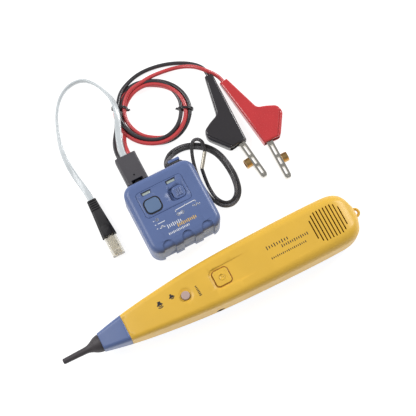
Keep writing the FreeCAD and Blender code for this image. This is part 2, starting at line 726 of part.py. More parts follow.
def jaw_bar(side):
    """One half of the jaw pair, on the plus or minus side of its centre line."""
    along = Vec(jaw_tip[0] - jaw_root[0], jaw_tip[1] - jaw_root[1], 0)
    length = along.Length
    along.normalize()
    across = Vec(along.y, -along.x, 0) * side
    near = jaw_gap / 2
    start = Vec(jaw_root[0], jaw_root[1], 0) + along * 0.5

    def corner(distance, offset):
        spot = start + along * distance + across * offset
        return (spot.x, spot.y)

    outline = [corner(0, near), corner(0, jaw_half), corner(length - 2.5, jaw_half),
               corner(length - 0.5, jaw_half - 0.9), corner(length - 0.5, near)]
    z0, z1 = clip_axis_z - jaw_depth / 2, clip_axis_z + jaw_depth / 2
    bar = prism(outline, z0, z1)
    windows = []
    for distance, reach in jaw_windows:
        window = [corner(distance, near - 1.0), corner(distance, jaw_rail),
                  corner(distance + reach, jaw_rail), corner(distance + reach, near - 1.0)]
        windows.append(prism(window, z0 - 1, z1 + 1))
    return without(bar, windows)


def clip_parts(colour):
    """All pieces of one test clip."""
    save(colour + "_clip_boot", on_clip(clip_boot(), colour))
    z0, z1 = clip_axis_z - jaw_depth / 2, clip_axis_z + jaw_depth / 2
    px, py = clip_pivot
    plate = prism(fixed_plate, z0, z1)
    reach, ear_thick = ear_size
    ears = []
    for low in (z0 - 0.5, z1 - 0.4):
        ear = joined([rod(reach, ear_thick, Vec(px, py, low)),
                      prism(((1.9, py - reach), (px, py - reach), (px, py + reach), (1.9, py + reach)),
                            low, low + ear_thick)])
        ears.append(ear)
    barrel = rod(barrel_radius, barrel_length, Vec(barrel_u, 0, clip_axis_z), Vec(0, 1, 0))
    barrel = barrel.cut(rod(1.0, 2.0, Vec(barrel_u, -1, clip_axis_z), Vec(0, 1, 0)))
    pin_hole = rod(pin_radius, clip_thick, Vec(px, py, 0))
    fixed = joined([jaw_bar(-1), plate, barrel] + ears).cut(pin_hole)
    save(colour + "_clip_fixed_jaw", on_clip(fixed, colour))
    pin = rod(pin_radius, jaw_depth + 1.6, Vec(px, py, z0 - 0.8))
    heads = [rod(pin_head[0], pin_head[1], Vec(px, py, low)) for low in (z0 - 0.9, z1 + 0.5)]
    save(colour + "_clip_pin", on_clip(joined([pin] + heads), colour))
    coil_low = clip_axis_z + 0.4
    spring = rod(spring_coil[0], spring_coil[1], Vec(px, py, coil_low))
    spring = spring.cut(rod(pin_radius, 3, Vec(px, py, coil_low - 1)))
    spring = spring.fuse(box(4.2, px - 1.8, py - 1.6, py - 0.8, coil_low, coil_low + 0.8))
    save(colour + "_clip_spring", on_clip(spring.removeSplitter(), colour))
    web_z0, web_z1 = z0 + 0.9, clip_axis_z + 0.1
    web = joined([rod(2.8, web_z1 - web_z0, Vec(px, py, web_z0)),
                  prism(((px - 2.3, py + 1.0), (px + 2.0, py + 1.0), (7.6, 62.5), (4.8, 62.5)),
                        web_z0, web_z1)])
    handle = prism(((px + 1.0, py - 2.6), (px + 2.4, py + 0.4), (20.6, 47.0), (19.2, 45.0)),
                   web_z0, web_z1)
    paddle = prism(((13.0, 49.2), (14.4, 51.2), (20.6, 47.0), (19.2, 45.0)), z0, z1)
    pivot_hole = rod(pin_radius + pivot_play, clip_thick, Vec(px, py, 0))
    moving = joined([jaw_bar(1), web, handle, paddle]).cut(pivot_hole)
    save(colour + "_clip_jaw", on_clip(moving, colour))
    along = Vec(jaw_tip[0] - jaw_root[0], jaw_tip[1] - jaw_root[1], 0)
    along.normalize()
    across = Vec(along.y, -along.x, 0)
    seat = Vec(nail_bed_seat[0], nail_bed_seat[1], clip_axis_z) + across * jaw_half
    cup_radius, cup_length = nail_bed_cup
    hollow_radius, hollow_start = nail_bed_hollow
    cup = rod(cup_radius, cup_length, seat, across)
    cup = cup.cut(rod(hollow_radius, cup_length, seat + across * hollow_start, across))
    save(colour + "_clip_nail_bed", on_clip(cup, colour))


def lanyard():
    """The lanyard: one cord laid double, hooked round the lug and closed by a ferrule."""
    band = ((18.0, 42.2, 5.0), (25.4, 45.2, 1.6), (34.0, 44.8, 1.4), (41.8, 41.2, 1.4),
            (48.6, 36.0, 1.4), (53.8, 27.8, 1.4), (56.2, 15.6, 1.4), (56.2, 3.2, 1.4),
            (53.4, -7.2, 1.4), (46.6, -12.6, 1.4), (39.0, -11.2, 1.4), (34.4, -4.4, 1.4))
    half = lanyard_diameter / 2 + 0.05

    def strand(side):
        points = []
        for index, (x, y, z) in enumerate(band):
            before = band[max(index - 1, 0)]
            after = band[min(index + 1, len(band) - 1)]
            length = math.hypot(after[0] - before[0], after[1] - before[1])
            nx, ny = -(after[1] - before[1]) / length, (after[0] - before[0]) / length
            points.append((x + side * half * nx, y + side * half * ny, z))
        return points

    neck_x = lug_neck[0] / 2 + 1.6
    neck_z = lug_neck[1] / 2 + 1.6
    wrap_y = toner_length / 2 + 2.2
    wrap = [(lug_x - neck_x - 1.4, wrap_y + 4.0, toner_split + 1.2),
            (lug_x - neck_x, wrap_y, toner_split + neck_z),
            (lug_x + neck_x, wrap_y, toner_split + neck_z),
            (lug_x + neck_x, wrap_y, toner_split - neck_z),
            (lug_x - neck_x, wrap_y, toner_split - neck_z),
            (lug_x - neck_x - 1.6, wrap_y + 4.2, toner_split - 3.2)]
    inner = [(36.8, 22.6, 1.6), (35.2, 13.4, 1.4), (34.8, 4.0, 1.4)]
    outer = [(31.2, 4.0, 1.4), (30.7, 13.0, 1.4), (31.5, 22.4, 2.0), (34.0, 33.2, 3.4),
             (37.8, 42.4, 4.2), (41.6, 46.2, 3.4), (45.6, 44.6, 4.0), (47.2, 39.8, 4.0),
             (45.0, 33.6, 3.0)]
    route = inner + strand(-1)[::-1] + wrap + strand(1) + outer
    cord_tube("lanyard_cord", route, lanyard_diameter)
    low, high = Vec(*inner[0]), Vec(*outer[-1])
    axis = high - low
    save("lanyard_ferrule", rod(ferrule_diameter / 2, axis.Length, low, axis))


def probe_wire(station, inset):
    """The probe's rounded cross-section at one station, shrunk by inset."""
    x, half, low, high, edge = station
    width, height = 2 * (half - inset), high - low - 2 * inset
    radius = max(edge - inset, 1.0)
    wire = rounded_wire(0, 0, height, width, radius, 0)
    wire.rotate(Vec(0, 0, 0), Vec(0, 1, 0), -90)
    wire.translate(Vec(x, probe_y, (low + high) / 2))
    return wire


def probe_body(inset, start):
    """A smooth solid through the probe's cross-sections, from one station to the last."""
    stations = [list(station) for station in probe_stations[start:]]
    if inset > 0:
        stations[0][0] += inset
        stations[-1][0] -= inset
    return Part.makeLoft([probe_wire(station, inset) for station in stations], True, False)


def probe_half_width(x):
    """Half width of the probe at one station, between the listed ones."""
    for (x0, w0, *_), (x1, w1, *_) in zip(probe_stations, probe_stations[1:]):
        if x0 <= x <= x1:
            return w0 + (w1 - w0) * (x - x0) / (x1 - x0)
    return probe_stations[-1][1]


def square_plate(x, size, radius, z0, z1):
    """A rounded square on the probe's centre line."""
    return rounded_plate((x, probe_y), (size, size), radius, z0, z1)


def probe_door(width, x0, x1, z0, z1):
    """A dovetailed plate along X on the probe's centre line."""
    door = dovetail(width, x0, x1, z0, z1)
    door.rotate(Vec(0, 0, 0), Vec(0, 0, 1), -90)
    door.translate(Vec(0, probe_y, 0))
    return door


def probe_case():
    """Front shell, back shell and battery door of the probe."""
    outer = probe_body(0.0, 0).common(box(nose_end, 200, -200, 200, 0, 40))
    ring = Part.makeTorus(probe_ring_radius, probe_ring_wire,
                          Vec(probe_ring_centre, probe_y, probe_axis_z))
    ring_room = box(110, 120.4, -80, -50, 0, 32)
    ring = ring.cut(ring_room)
    cavity = probe_body(probe_wall, 2)
    case = outer.cut(cavity)
    posts = [rod(probe_post_radius, top, Vec(x, probe_y + y, 0)).common(outer)
             for x, y, top in probe_screws]
    x0, x1, half, top = probe_rail
    rail = box(x0, x1, probe_y - half, probe_y + half, 0, top).common(outer)
    ribs = [box(x0, x1, probe_y - half, probe_y + half, probe_split, top).common(outer)
            for x0, x1, half, top in (rear_rib, front_rib)]
    case = joined([case, rail] + posts + ribs)
    for x, y, _ in probe_screws:
        case = case.cut(rod(screw_hole_radius, 17.0, Vec(x, probe_y + y, probe_screw_seat)))
        case = case.cut(rod(screw_head_room, probe_screw_seat + 2.0, Vec(x, probe_y + y, -0.5)))

    front = case.common(box(-200, 200, -200, 200, probe_split, 50)).fuse(ring)
    rim_radius, floor_radius, dish_depth, dish_top = filter_dish
    dish_centre = Vec(filter_x, probe_y, dish_top)
    dish = Part.makeCone(rim_radius, floor_radius, dish_depth, dish_centre, Vec(0, 0, -1))
    cuts = [dish, rod(rim_radius, 4.0, dish_centre),
            rod(filter_radius + moving_gap, 20, Vec(filter_x, probe_y, 20))]
    thumb = rounded_plate((thumb_centre_x, probe_y), thumb_size, 4.5, 25, 40)
    slope = prism(thumb_slope, 0, 60)
    slope.rotate(Vec(0, 0, 0), Vec(1, 0, 0), 90)
    slope.translate(Vec(0, -30, 0))
    cuts.append(thumb.common(slope))
    cuts.append(square_plate(power_x, power_size + 2 * moving_gap, power_corner, 20, 40))
    side_y = probe_y + probe_half_width(wheel_x)
    cuts.append(box(wheel_x - wheel_radius - 1, wheel_x + wheel_radius + 1, side_y - 9.0, side_y + 3,
                    wheel_z - wheel_thick / 2 - 0.5, wheel_z + wheel_thick / 2 + 0.5))
    slot_middle = (slot_count - 1) / 2
    for step in range(slot_count):
        x = speaker_x + (step - slot_middle) * slot_pitch
        half = math.sqrt(max(slot_reach ** 2 - (x - speaker_x) ** 2, slot_reach_least ** 2))
        half = min(half, slot_reach_most)
        cuts.append(rounded_plate((x, probe_y), (slot_width, 2 * half), 0.49, 20, 40))
    cuts.append(rod(sensor_core[0], 12.0, Vec(nose_end - 5.0, probe_y, probe_axis_z), Vec(1, 0, 0)))
    jack_hole = rod(jack_body[0], 12.0, Vec(jack_x, probe_y - 12.0, jack_z), Vec(0, -1, 0))
    save("probe_front_shell", without(front, cuts + [jack_hole]))

    back = case.common(box(-200, 200, -200, 200, -5, probe_split))
    recess = probe_door(door_width, probe_door_start - door_gap, probe_rail[1] + 0.5, -0.5,
                        door_thick + 0.5)
    opening = box(probe_bay[0], probe_bay[1], probe_y - bay_half_width, probe_y + bay_half_width, -1, 8)
    save("probe_back_shell", without(back, [recess, opening, jack_hole]))
    door = probe_door(door_width - 2 * door_gap, probe_door_start, probe_door_end, 0.0, door_thick)
    half, rib_width, pitch = door_rib
    first, count = probe_door_ribs
    starts = [first + pitch * row for row in range(count)]
    ribs = [box(start, start + rib_width, probe_y - half, probe_y + half, -0.1, 0.5)
            for start in starts]
    save("probe_battery_door", without(door, ribs))


def probe_front_end():
    """The blue nose, the dark tip and the sensing rod inside them."""
    axis = Vec(1, 0, 0)
    nose = probe_body(0.0, 0).common(box(nose_start, nose_end, -200, 200, 0, 40))
    bore = rod(sensor_core[0], 30, Vec(nose_start - 1, probe_y, probe_axis_z), axis)
    save("probe_nose", nose.cut(bore))
    end = [Vec(x, probe_y, probe_axis_z + radius) for x, radius in tip_round]
    flare = [Vec(x, probe_y, probe_axis_z + radius) for x, radius in tip_flare]
    curve = Part.BSplineCurve()
    curve.interpolate(Points=flare, InitialTangent=Vec(tip_flare_start[0], 0, tip_flare_start[1]),
                      FinalTangent=Vec(tip_flare_start[0], 0, tip_flare_start[1]))
    base = [flare[-1], Vec(nose_start, probe_y, probe_axis_z), Vec(tip_end, probe_y, probe_axis_z),
            end[0]]
    outline = Part.Wire([Part.Arc(*end).toShape(), Part.LineSegment(end[-1], flare[0]).toShape(),
                         curve.toShape()] + Part.makePolygon(base).Edges)
    tip = Part.Face(outline).revolve(Vec(tip_end, probe_y, probe_axis_z), axis, 360)
    start = Vec(tip_end + tip_room, probe_y, probe_axis_z)
    save("probe_tip", tip.cut(rod(sensor_radius, -tip_end, start, axis)))
    core_radius, core_length = sensor_core
    save("probe_antenna", joined([rod(sensor_radius, nose_start - tip_end - tip_room + 1.0, start, axis),
                                  rod(core_radius, core_length, Vec(nose_start, probe_y, probe_axis_z),
                                      axis)]))


def probe_inside():
    """Board, switches, volume control, speaker, battery and screws of the probe."""
    z = probe_board_z
    board = prism(((-66.0, probe_y - 5.5), (-50.0, probe_y - 7.5), (18.0, probe_y - 10.0),
                   (18.0, probe_y + 10.0), (-50.0, probe_y + 7.5), (-66.0, probe_y + 5.5)),
                  z, z + board_thick)
    chips = [box(x - 4, x + 4, probe_y - 4, probe_y + 4, z + board_thick - 0.1, z + board_thick + 1.6)
             for x in probe_chip_xs]
    save("probe_circuit_board", joined([board] + chips))
    top = z + board_thick
    seat = top + switch_height
    switches = []
    for x in (filter_x, power_x):
        switches.append(joined([box(x - 3, x + 3, probe_y - 3, probe_y + 3, top, seat),
                                rod(switch_stem[0], switch_stem[1], Vec(x, probe_y, seat))]))
    save("probe_button_switches", Part.makeCompound(switches))
    wheel_y = probe_y + probe_half_width(wheel_x) + 0.9 - wheel_radius
    low = wheel_z + wheel_thick / 2 + 0.4
    pot = joined([rod(5.0, z - low, Vec(wheel_x, wheel_y, low)),
                  rod(1.8, wheel_thick + 0.6, Vec(wheel_x, wheel_y, low - wheel_thick - 0.6))])
    save("probe_volume_pot", pot)
    wheel = rod(wheel_radius, wheel_thick, Vec(wheel_x, wheel_y, wheel_z - wheel_thick / 2))
    wheel = wheel.cut(rod(wheel_hub_radius, 10, Vec(wheel_x, wheel_y, wheel_z - 5)))
    for step in range(wheel_teeth):
        angle = 2 * math.pi * step / wheel_teeth
        spot = Vec(wheel_x + wheel_radius * math.cos(angle), wheel_y + wheel_radius * math.sin(angle),
                   wheel_z - 5)
        wheel = wheel.cut(rod(wheel_tooth_radius, 10, spot))
    save("probe_volume_wheel", wheel)
    speaker = joined([rod(speaker_radius, speaker_thick, Vec(speaker_x, probe_y, 26.2)),
                      rod(speaker_magnet[0], speaker_magnet[1], Vec(speaker_x, probe_y, 23.4))])
    save("probe_speaker", speaker)
    middle = probe_battery_floor + battery_thick / 2
    battery("probe_battery", Vec(probe_battery_x + battery_body + battery_stud, probe_y, middle), 90)
    axis = Vec(0, -1, 0)
    face_y = probe_y - probe_half_width(jack_x) + 0.2
    rim_radius, body_radius, body_length = jack_body
    jack = joined([rod(rim_radius, 2.4, Vec(jack_x, face_y + 2.4, jack_z), axis),
                   rod(body_radius, body_length, Vec(jack_x, face_y + body_length, jack_z), axis)])
    jack = jack.cut(rod(jack_radius, 11.0, Vec(jack_x, face_y + 11.0, jack_z), axis))
    print("jack mouth", round(face_y, 2))
    save("probe_earphone_jack", jack)
    screws = [screw(x, probe_y + y, probe_screw_seat, 14.0) for x, y, _ in probe_screws]
    save("probe_case_screws", Part.makeCompound(screws))


def probe_controls():
    """The power button with its raised symbol, and the round filter button."""
    switch_top = probe_board_z + board_thick + switch_height + switch_stem[1]
    low = switch_top + button_travel + moving_gap
    power = square_plate(power_x, power_size, power_corner - moving_gap, power_low, power_top)
    power = round_level_edges(power, power_top, 0.5)
    flange = square_plate(power_x, power_size + 1.6, power_corner, power_low, power_low + 0.8)
    stem = rod(2.2, power_low + 0.1 - low, Vec(power_x, probe_y, low))
    outer, inner, rise = power_symbol
    symbol_z = power_top - 0.1
    ring = rod(outer, rise, Vec(power_x, probe_y, symbol_z))
    ring = ring.cut(rod(inner, 2, Vec(power_x, probe_y, symbol_z - 0.5)))
    bar = box(power_x - 0.3, power_x + 1.6, probe_y - 0.25, probe_y + 0.25, symbol_z, symbol_z + rise)
    save("probe_power_button", joined([power, flange, stem, ring, bar]))
    cap = rod(filter_radius, filter_top - filter_low - 0.4, Vec(filter_x, probe_y, filter_low + 0.4))
    cap = round_level_edges(cap, filter_top, 0.7)
    flange = rod(filter_radius + 0.8, 0.7, Vec(filter_x, probe_y, filter_low))
    stem = rod(1.8, filter_low + 0.1 - low, Vec(filter_x, probe_y, low))
    save("probe_filter_button", joined([cap, flange, stem]))


os.makedirs("parts", exist_ok=True)
toner_case()
toner_inside()
toner_controls()
lead_gland_and_block()
test_leads()
plug_lead()
for clip_colour in clip_places:
    clip_parts(clip_colour)
lanyard()
probe_case()
probe_front_end()
probe_inside()
probe_controls()
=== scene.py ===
# %% [markdown]
# # Tone probe kit
# An electrician traces a cable with two tools. The toner clips on to one end of the cable and sends a
# tone down it; the probe is passed over the cables at the other end and sounds when it is near the right
# one. The CAD model already holds every case, button and clip at its real size. This lesson adds what CAD
# leaves plain: cords, soft vinyl boots, printed marks and the finish of every surface.

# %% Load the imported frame
import json
import math

import bmesh
import bpy
from mathutils import Matrix, Vector
from mathutils.bvhtree import BVHTree

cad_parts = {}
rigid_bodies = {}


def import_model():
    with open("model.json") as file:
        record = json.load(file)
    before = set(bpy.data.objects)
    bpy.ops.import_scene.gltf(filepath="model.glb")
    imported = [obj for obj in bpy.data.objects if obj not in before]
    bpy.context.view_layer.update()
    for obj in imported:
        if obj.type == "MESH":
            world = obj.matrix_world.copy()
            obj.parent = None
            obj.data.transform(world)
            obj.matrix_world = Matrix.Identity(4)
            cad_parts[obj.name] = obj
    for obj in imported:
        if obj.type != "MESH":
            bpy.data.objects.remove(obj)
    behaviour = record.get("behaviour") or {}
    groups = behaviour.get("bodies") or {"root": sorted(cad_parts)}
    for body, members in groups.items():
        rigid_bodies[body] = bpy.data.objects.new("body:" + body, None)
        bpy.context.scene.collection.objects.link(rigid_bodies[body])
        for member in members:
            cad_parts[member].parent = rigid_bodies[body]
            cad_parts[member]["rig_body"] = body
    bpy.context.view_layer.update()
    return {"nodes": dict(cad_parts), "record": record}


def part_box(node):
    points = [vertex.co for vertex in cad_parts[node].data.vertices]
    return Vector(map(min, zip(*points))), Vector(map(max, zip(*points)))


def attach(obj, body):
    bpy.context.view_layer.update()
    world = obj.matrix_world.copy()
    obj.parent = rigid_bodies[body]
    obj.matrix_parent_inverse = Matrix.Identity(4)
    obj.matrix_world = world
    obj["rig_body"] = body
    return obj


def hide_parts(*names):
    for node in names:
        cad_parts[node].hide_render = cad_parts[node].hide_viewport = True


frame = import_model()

scene = bpy.context.scene
slot_of = {part["node"]: part["material_slot"] for part in frame["record"]["subparts"]}
body_of = {name: node["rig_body"] for name, node in frame["nodes"].items()}

# %% [markdown]
# ## Camera
# A long lens from one metre keeps the small perspective that such a product view has. A camera could be
# turned by hand, but here its three axes are worked out from two angles, because a matrix made from them
# can't roll by accident.

# %% Camera
look_at = Vector((0.0267, -0.0070, 0.0))
azimuth = math.radians(-27.5)
elevation = math.radians(75.0)
distance = 1.0
back = Vector((math.sin(azimuth) * math.cos(elevation), -math.cos(azimuth) * math.cos(elevation),
               math.sin(elevation)))
right = Vector((math.cos(azimuth), math.sin(azimuth), 0.0))
up = back.cross(right)
camera = bpy.data.objects.new("camera", bpy.data.cameras.new("camera"))
camera.data.sensor_width = 36.0
camera.data.lens = 112.5
camera.data.clip_end = 20.0
camera_axes = Matrix((right, up, back)).transposed().to_4x4()
camera.matrix_world = Matrix.Translation(look_at + back * distance) @ camera_axes
scene.collection.objects.link(camera)
scene.camera = camera
print("camera at", [round(value, 3) for value in camera.location])

# %% [markdown]
# ## Shader sums
# Every finish here is made from noise, waves and simple sums, so that it needs no picture files. A small
# class wraps a socket and lets Python's own operators add Math nodes, and another holds a material and
# adds any other node with its settings and inputs in one call.

# %% A socket that can be used in sums
class Wave:
    """One output socket; an operator on it adds a Math node."""

    def __init__(self, finish, socket):
        self.finish = finish
        self.socket = socket

    def sum(self, operation, *inputs):
        return self.finish.add("ShaderNodeMath", {"operation": operation}, dict(enumerate(inputs)))

    def __add__(self, other):
        return self.sum("ADD", self, other)

    def __radd__(self, other):
        return self.sum("ADD", other, self)

    def __sub__(self, other):
        return self.sum("SUBTRACT", self, other)

    def __rsub__(self, other):
        return self.sum("SUBTRACT", other, self)

    def __mul__(self, other):
        return self.sum("MULTIPLY", self, other)

    def __rmul__(self, other):
        return self.sum("MULTIPLY", other, self)

    def sine(self):
        return self.sum("SINE", self)

    def above(self, limit):
        return self.sum("GREATER_THAN", self, limit)


# %% A material that is built up call by call
class Finish:
    """A material with one Principled shader, and one way to add any node."""

    def __init__(self, name, colour, roughness, **constants):
        self.material = bpy.data.materials.new(name)
        self.material.use_nodes = True
        self.material.diffuse_color = (*colour, 1.0)
        self.tree = self.material.node_tree
        self.shader = self.tree.nodes["Principled BSDF"]
        self.set("Base Color", (*colour, 1.0))
        self.set("Roughness", roughness)
        for title, value in constants.items():
            self.set(title.replace("_", " ").title().replace("Ior", "IOR"), value)

    def set(self, socket, value):
        """Give a shader socket a number, a colour or a link."""
        if isinstance(value, Wave):
            self.tree.links.new(value.socket, self.shader.inputs[socket])
        else:
            self.shader.inputs[socket].default_value = value

    def add(self, kind, settings, inputs, output=0):
        """Add a node, set it up, feed it and give back one of its outputs."""
        node = self.tree.nodes.new(kind)
        for title, value in settings.items():
            setattr(node, title, value)
        for title, value in inputs.items():
            if isinstance(value, Wave):
                self.tree.links.new(value.socket, node.inputs[title])
            else:
                node.inputs[title].default_value = value
        return Wave(self, node.outputs[output])

    def place(self):
        """Object coordinates, in metres in the frame."""
        return self.add("ShaderNodeTexCoord", {}, {}, "Object")

    def noise(self, scale, detail=2.0, stretch=(1.0, 1.0, 1.0)):
        """Smooth noise from 0 to 1, with about scale lumps in a metre."""
        mapped = self.add("ShaderNodeMapping", {}, {"Vector": self.place(), "Scale": stretch})
        return self.add("ShaderNodeTexNoise", {}, {"Vector": mapped, "Scale": scale, "Detail": detail}, 0)

    def blend(self, factor, low, high):
        """A colour between two, by a factor from 0 to 1."""
        colours = [value if isinstance(value, Wave) else (*value, 1.0) for value in (low, high)]
        return self.add("ShaderNodeMix", {"data_type": "RGBA", "clamp_factor": True},
                        {0: factor, 6: colours[0], 7: colours[1]}, 2)

    def relief(self, height, depth):
        """Bump the surface by a height that runs from 0 to 1."""
        bump = self.add("ShaderNodeBump", {}, {"Height": height, "Distance": depth, "Strength": 1.0})
        self.set("Normal", bump)

    def tint(self, colour, factor, darker, lighter=1.0):
        """Let the base colour drift between a darker and a lighter tone of itself."""
        low = [value * darker for value in colour]
        high = [min(1.0, value * lighter) for value in colour]
        self.set("Base Color", self.blend(factor, low, high))


print("shader helpers ready")

# %% [markdown]
# ## Moulded plastic
# Both cases are satin ABS with a fine spark-eroded grain. Three layers give it: a fine bump a quarter of a
# millimetre across, a slower change in gloss where hands have polished it, and a very slight drift in
# colour. One function makes every moulded colour, so the cases stay a family.

# %% Moulded plastic
def moulded(name, colour, roughness, grain=4200.0, depth=0.00003, drift=0.10):
    """Satin moulded plastic with grain, uneven gloss and slight colour drift."""
    finish = Finish(name, colour, roughness, specular_ior_level=0.5)
    finish.tint(colour, finish.noise(38.0, 3.0), 1 - drift, 1 + drift)
    finish.set("Roughness", (finish.noise(160.0, 4.0) - 0.5) * 0.16 + roughness)
    finish.relief(finish.noise(grain, 2.0) * 0.7 + finish.noise(900.0, 2.0) * 0.3, depth)
    return finish.material


materials = {
    "blue_plastic": moulded("blue_plastic", (0.108, 0.158, 0.335), 0.38),
    "yellow_plastic": moulded("yellow_plastic", (0.78, 0.47, 0.055), 0.40),
    "button_blue": moulded("button_blue", (0.115, 0.185, 0.325), 0.48, grain=3000.0),
    "black_plastic": moulded("black_plastic", (0.062, 0.058, 0.066), 0.50, depth=0.00005, drift=0.2),
    "tip_plastic": moulded("tip_plastic", (0.052, 0.045, 0.050), 0.55, depth=0.00004),
    "black_rubber": moulded("black_rubber", (0.014, 0.013, 0.015), 0.55, depth=0.00005),
    "grey_button": moulded("grey_button", (0.50, 0.36, 0.32), 0.50),
    "board": moulded("board", (0.02, 0.12, 0.05), 0.45),
    "battery_case": moulded("battery_case", (0.05, 0.05, 0.055), 0.35),
    "speaker_frame": moulded("speaker_frame", (0.028, 0.016, 0.014), 0.80, depth=0.00008),
}
print("moulded finishes:", len(materials))

# %% [markdown]
# ## Soft vinyl and cable jacket
# Test leads and clip boots are dipped or extruded vinyl: a deep colour under a clear gloss, with slow waves
# where it has cooled. A coat layer over the base gives that gloss more truly than a very low roughness,
# which would look wet. The jackets of the leads are drier, with almost no waves.

# %% Vinyl and cable jackets
def vinyl(name, colour, roughness=0.26, wave=70.0, depth=0.00008):
    """Glossy soft vinyl whose surface waves a little."""
    finish = Finish(name, colour, roughness, coat_weight=0.35, coat_roughness=0.12, specular_ior_level=0.55)
    finish.tint(colour, finish.noise(90.0, 2.0), 0.86, 1.10)
    finish.set("Roughness", (finish.noise(700.0, 3.0) - 0.5) * 0.14 + roughness)
    finish.relief(finish.noise(wave, 1.0), depth)
    return finish.material


materials["red_vinyl"] = vinyl("red_vinyl", (0.56, 0.040, 0.045))
materials["black_vinyl"] = vinyl("black_vinyl", (0.026, 0.023, 0.027), roughness=0.32)
materials["white_cable"] = vinyl("white_cable", (0.58, 0.62, 0.64), roughness=0.34, depth=0.00003)
materials["red_jacket"] = vinyl("red_jacket", (0.56, 0.050, 0.055), roughness=0.42, depth=0.00001)
materials["black_jacket"] = vinyl("black_jacket", (0.030, 0.027, 0.031), roughness=0.42, depth=0.00001)
print("vinyl finishes ready")

# %% [markdown]
# ## Metals
# Plated jaws, turned brass cups and gold contacts are true metals, so the metallic value is one and the
# colour is that of the reflection. A texture picture could carry the tool marks; here noise that is
# stretched along one axis changes the gloss in fine streaks, and needs no picture.

# %% Metals
def metal(name, colour, roughness, streak=(1.0, 1.0, 1.0), spread=0.18, depth=0.00001):
    """Bare or plated metal with fine streaks in its gloss."""
    finish = Finish(name, colour, roughness, metallic=1.0)
    lines = finish.noise(1800.0, 3.0, streak)
    finish.tint(colour, finish.noise(220.0), 0.80)
    finish.set("Roughness", (lines - 0.5) * spread + roughness)
    finish.relief(lines, depth)
    return finish.material


materials["nickel"] = metal("nickel", (0.78, 0.75, 0.68), 0.24, (1.0, 1.0, 0.15))
materials["brass"] = metal("brass", (0.66, 0.42, 0.17), 0.34, (0.2, 0.2, 1.0))
materials["steel"] = metal("steel", (0.60, 0.59, 0.56), 0.36)
materials["gold"] = metal("gold", (0.83, 0.60, 0.22), 0.28)
materials["ferrule_tin"] = metal("ferrule_tin", (0.55, 0.51, 0.43), 0.42)
print("metals ready")

# %% [markdown]
# ## Clear plastic and ink
# The plug is clear, the two status lenses are almost dark, and the marks on the cases are a thin layer of
# ink. Light goes through the first two by transmission, not by alpha, so that their edges bend what lies
# behind them. Ink is matt and a little uneven.

# %% Clear plug plastic, lenses and printed ink
def clear_plastic(name, colour, roughness, through):
    """Clear or milky plastic that light passes through."""
    finish = Finish(name, colour, roughness, transmission_weight=through, ior=1.49)
    finish.relief(finish.noise(500.0), 0.00002)
    return finish.material


def ink(name, colour):
    """A thin layer of printed ink, slightly uneven."""
    finish = Finish(name, colour, 0.5)
    finish.tint(colour, finish.noise(5200.0), 0.82)
    return finish.material


materials["clear_plastic"] = clear_plastic("clear_plastic", (0.93, 0.90, 0.82), 0.08, 0.80)
materials["lens"] = clear_plastic("lens", (0.42, 0.48, 0.45), 0.22, 0.10)
materials["white_ink"] = ink("white_ink", (0.82, 0.84, 0.88))
materials["black_ink"] = ink("black_ink", (0.020, 0.017, 0.022))
materials["orange_ink"] = ink("orange_ink", (0.80, 0.50, 0.10))
materials["gap_shade"] = ink("gap_shade", (0.42, 0.16, 0.02))
print("clear plastics and inks ready")

# %% [markdown]
# ## Braided cord
# The lanyard is a round braid: two sets of yarn cross in a diamond pattern. Where the yarns dip, the base
# colour is darker as painted shade, and light flecks sit at random on some yarn crests. The tube's own UV
# map runs round it and along it, so two sets of slanting waves on that map follow every bend of the cord.

# %% Braid
def braid(name, colour, fleck, around, along):
    """Braided yarn on a tube's UV map: bump from crossing waves, painted shade where the yarns dip, and
    light flecks on some crests.
    """
    finish = Finish(name, colour, 0.8, sheen_weight=0.3)
    across = finish.add("ShaderNodeSeparateXYZ", {}, {0: finish.add("ShaderNodeUVMap", {}, {})})
    length = Wave(finish, across.socket.node.outputs[1])
    one = (across * (math.tau * around) + length * (math.tau * along)).sine()
    two = (across * (math.tau * around) - length * (math.tau * along)).sine()
    yarn = (one * two) * 0.5 + 0.5
    spots = (one * two).above(0.50) * finish.noise(2200.0, 1.0).above(0.44)
    # Painted shade: where the yarn bump is low, the base colour falls to 0.45 of the yarn colour.
    valley_painted_shade = [value * 0.45 for value in colour]
    finish.set("Base Color", finish.blend(spots, finish.blend(yarn, valley_painted_shade, colour), fleck))
    finish.relief(yarn, 0.00025)
    return finish.material


lanyard_length = 0.36
yarn_pitch = 0.0022
materials["black_cord"] = braid("black_cord", (0.036, 0.033, 0.038), (0.26, 0.25, 0.26), 5,
                                lanyard_length / yarn_pitch)
print("braid has", round(lanyard_length / yarn_pitch), "diamonds along it")

# %% [markdown]
# ## Cords
# A cord is one smooth line that leaves its block straight, drops to the bench and runs in easy curves. A
# NURBS spline of third order on a few points gives that. Where a cord crosses another it rises over it in
# a long low hump. The two test leads wind into one loose coil, whose turns come from a short list of where
# each strand lies at each quarter; a loop fills in the points between.

# %% A NURBS route
lead_diameter = 0.0032
lead_z = 0.014
block_end = 0.0544


def route_curve(name, points, tilts=None):
    """A curve of one open NURBS spline on the given points."""
    curve = bpy.data.curves.new(name, "CURVE")
    curve.dimensions = "3D"
    curve.resolution_u = 10
    spline = curve.splines.new("NURBS")
    spline.points.add(len(points) - 1)
    for index, point in enumerate(points):
        spline.points[index].co = (*point, 1.0)
        if tilts:
            spline.points[index].tilt = tilts[index]
    spline.order_u = 3
    spline.use_endpoint_u = True
    piece = bpy.data.objects.new(name, curve)
    scene.collection.objects.link(piece)
    return piece


def route_line(piece):
    """The points of a route's smooth line, read from its curve while it has no bevel."""
    line = bpy.data.meshes.new_from_object(piece)
    points = [vertex.co.copy() for vertex in line.vertices]
    bpy.data.meshes.remove(line)
    return points


def line_length(points):
    """The length of a line through points."""
    return sum((after - before).length for before, after in zip(points, points[1:]))


print("route helpers ready")

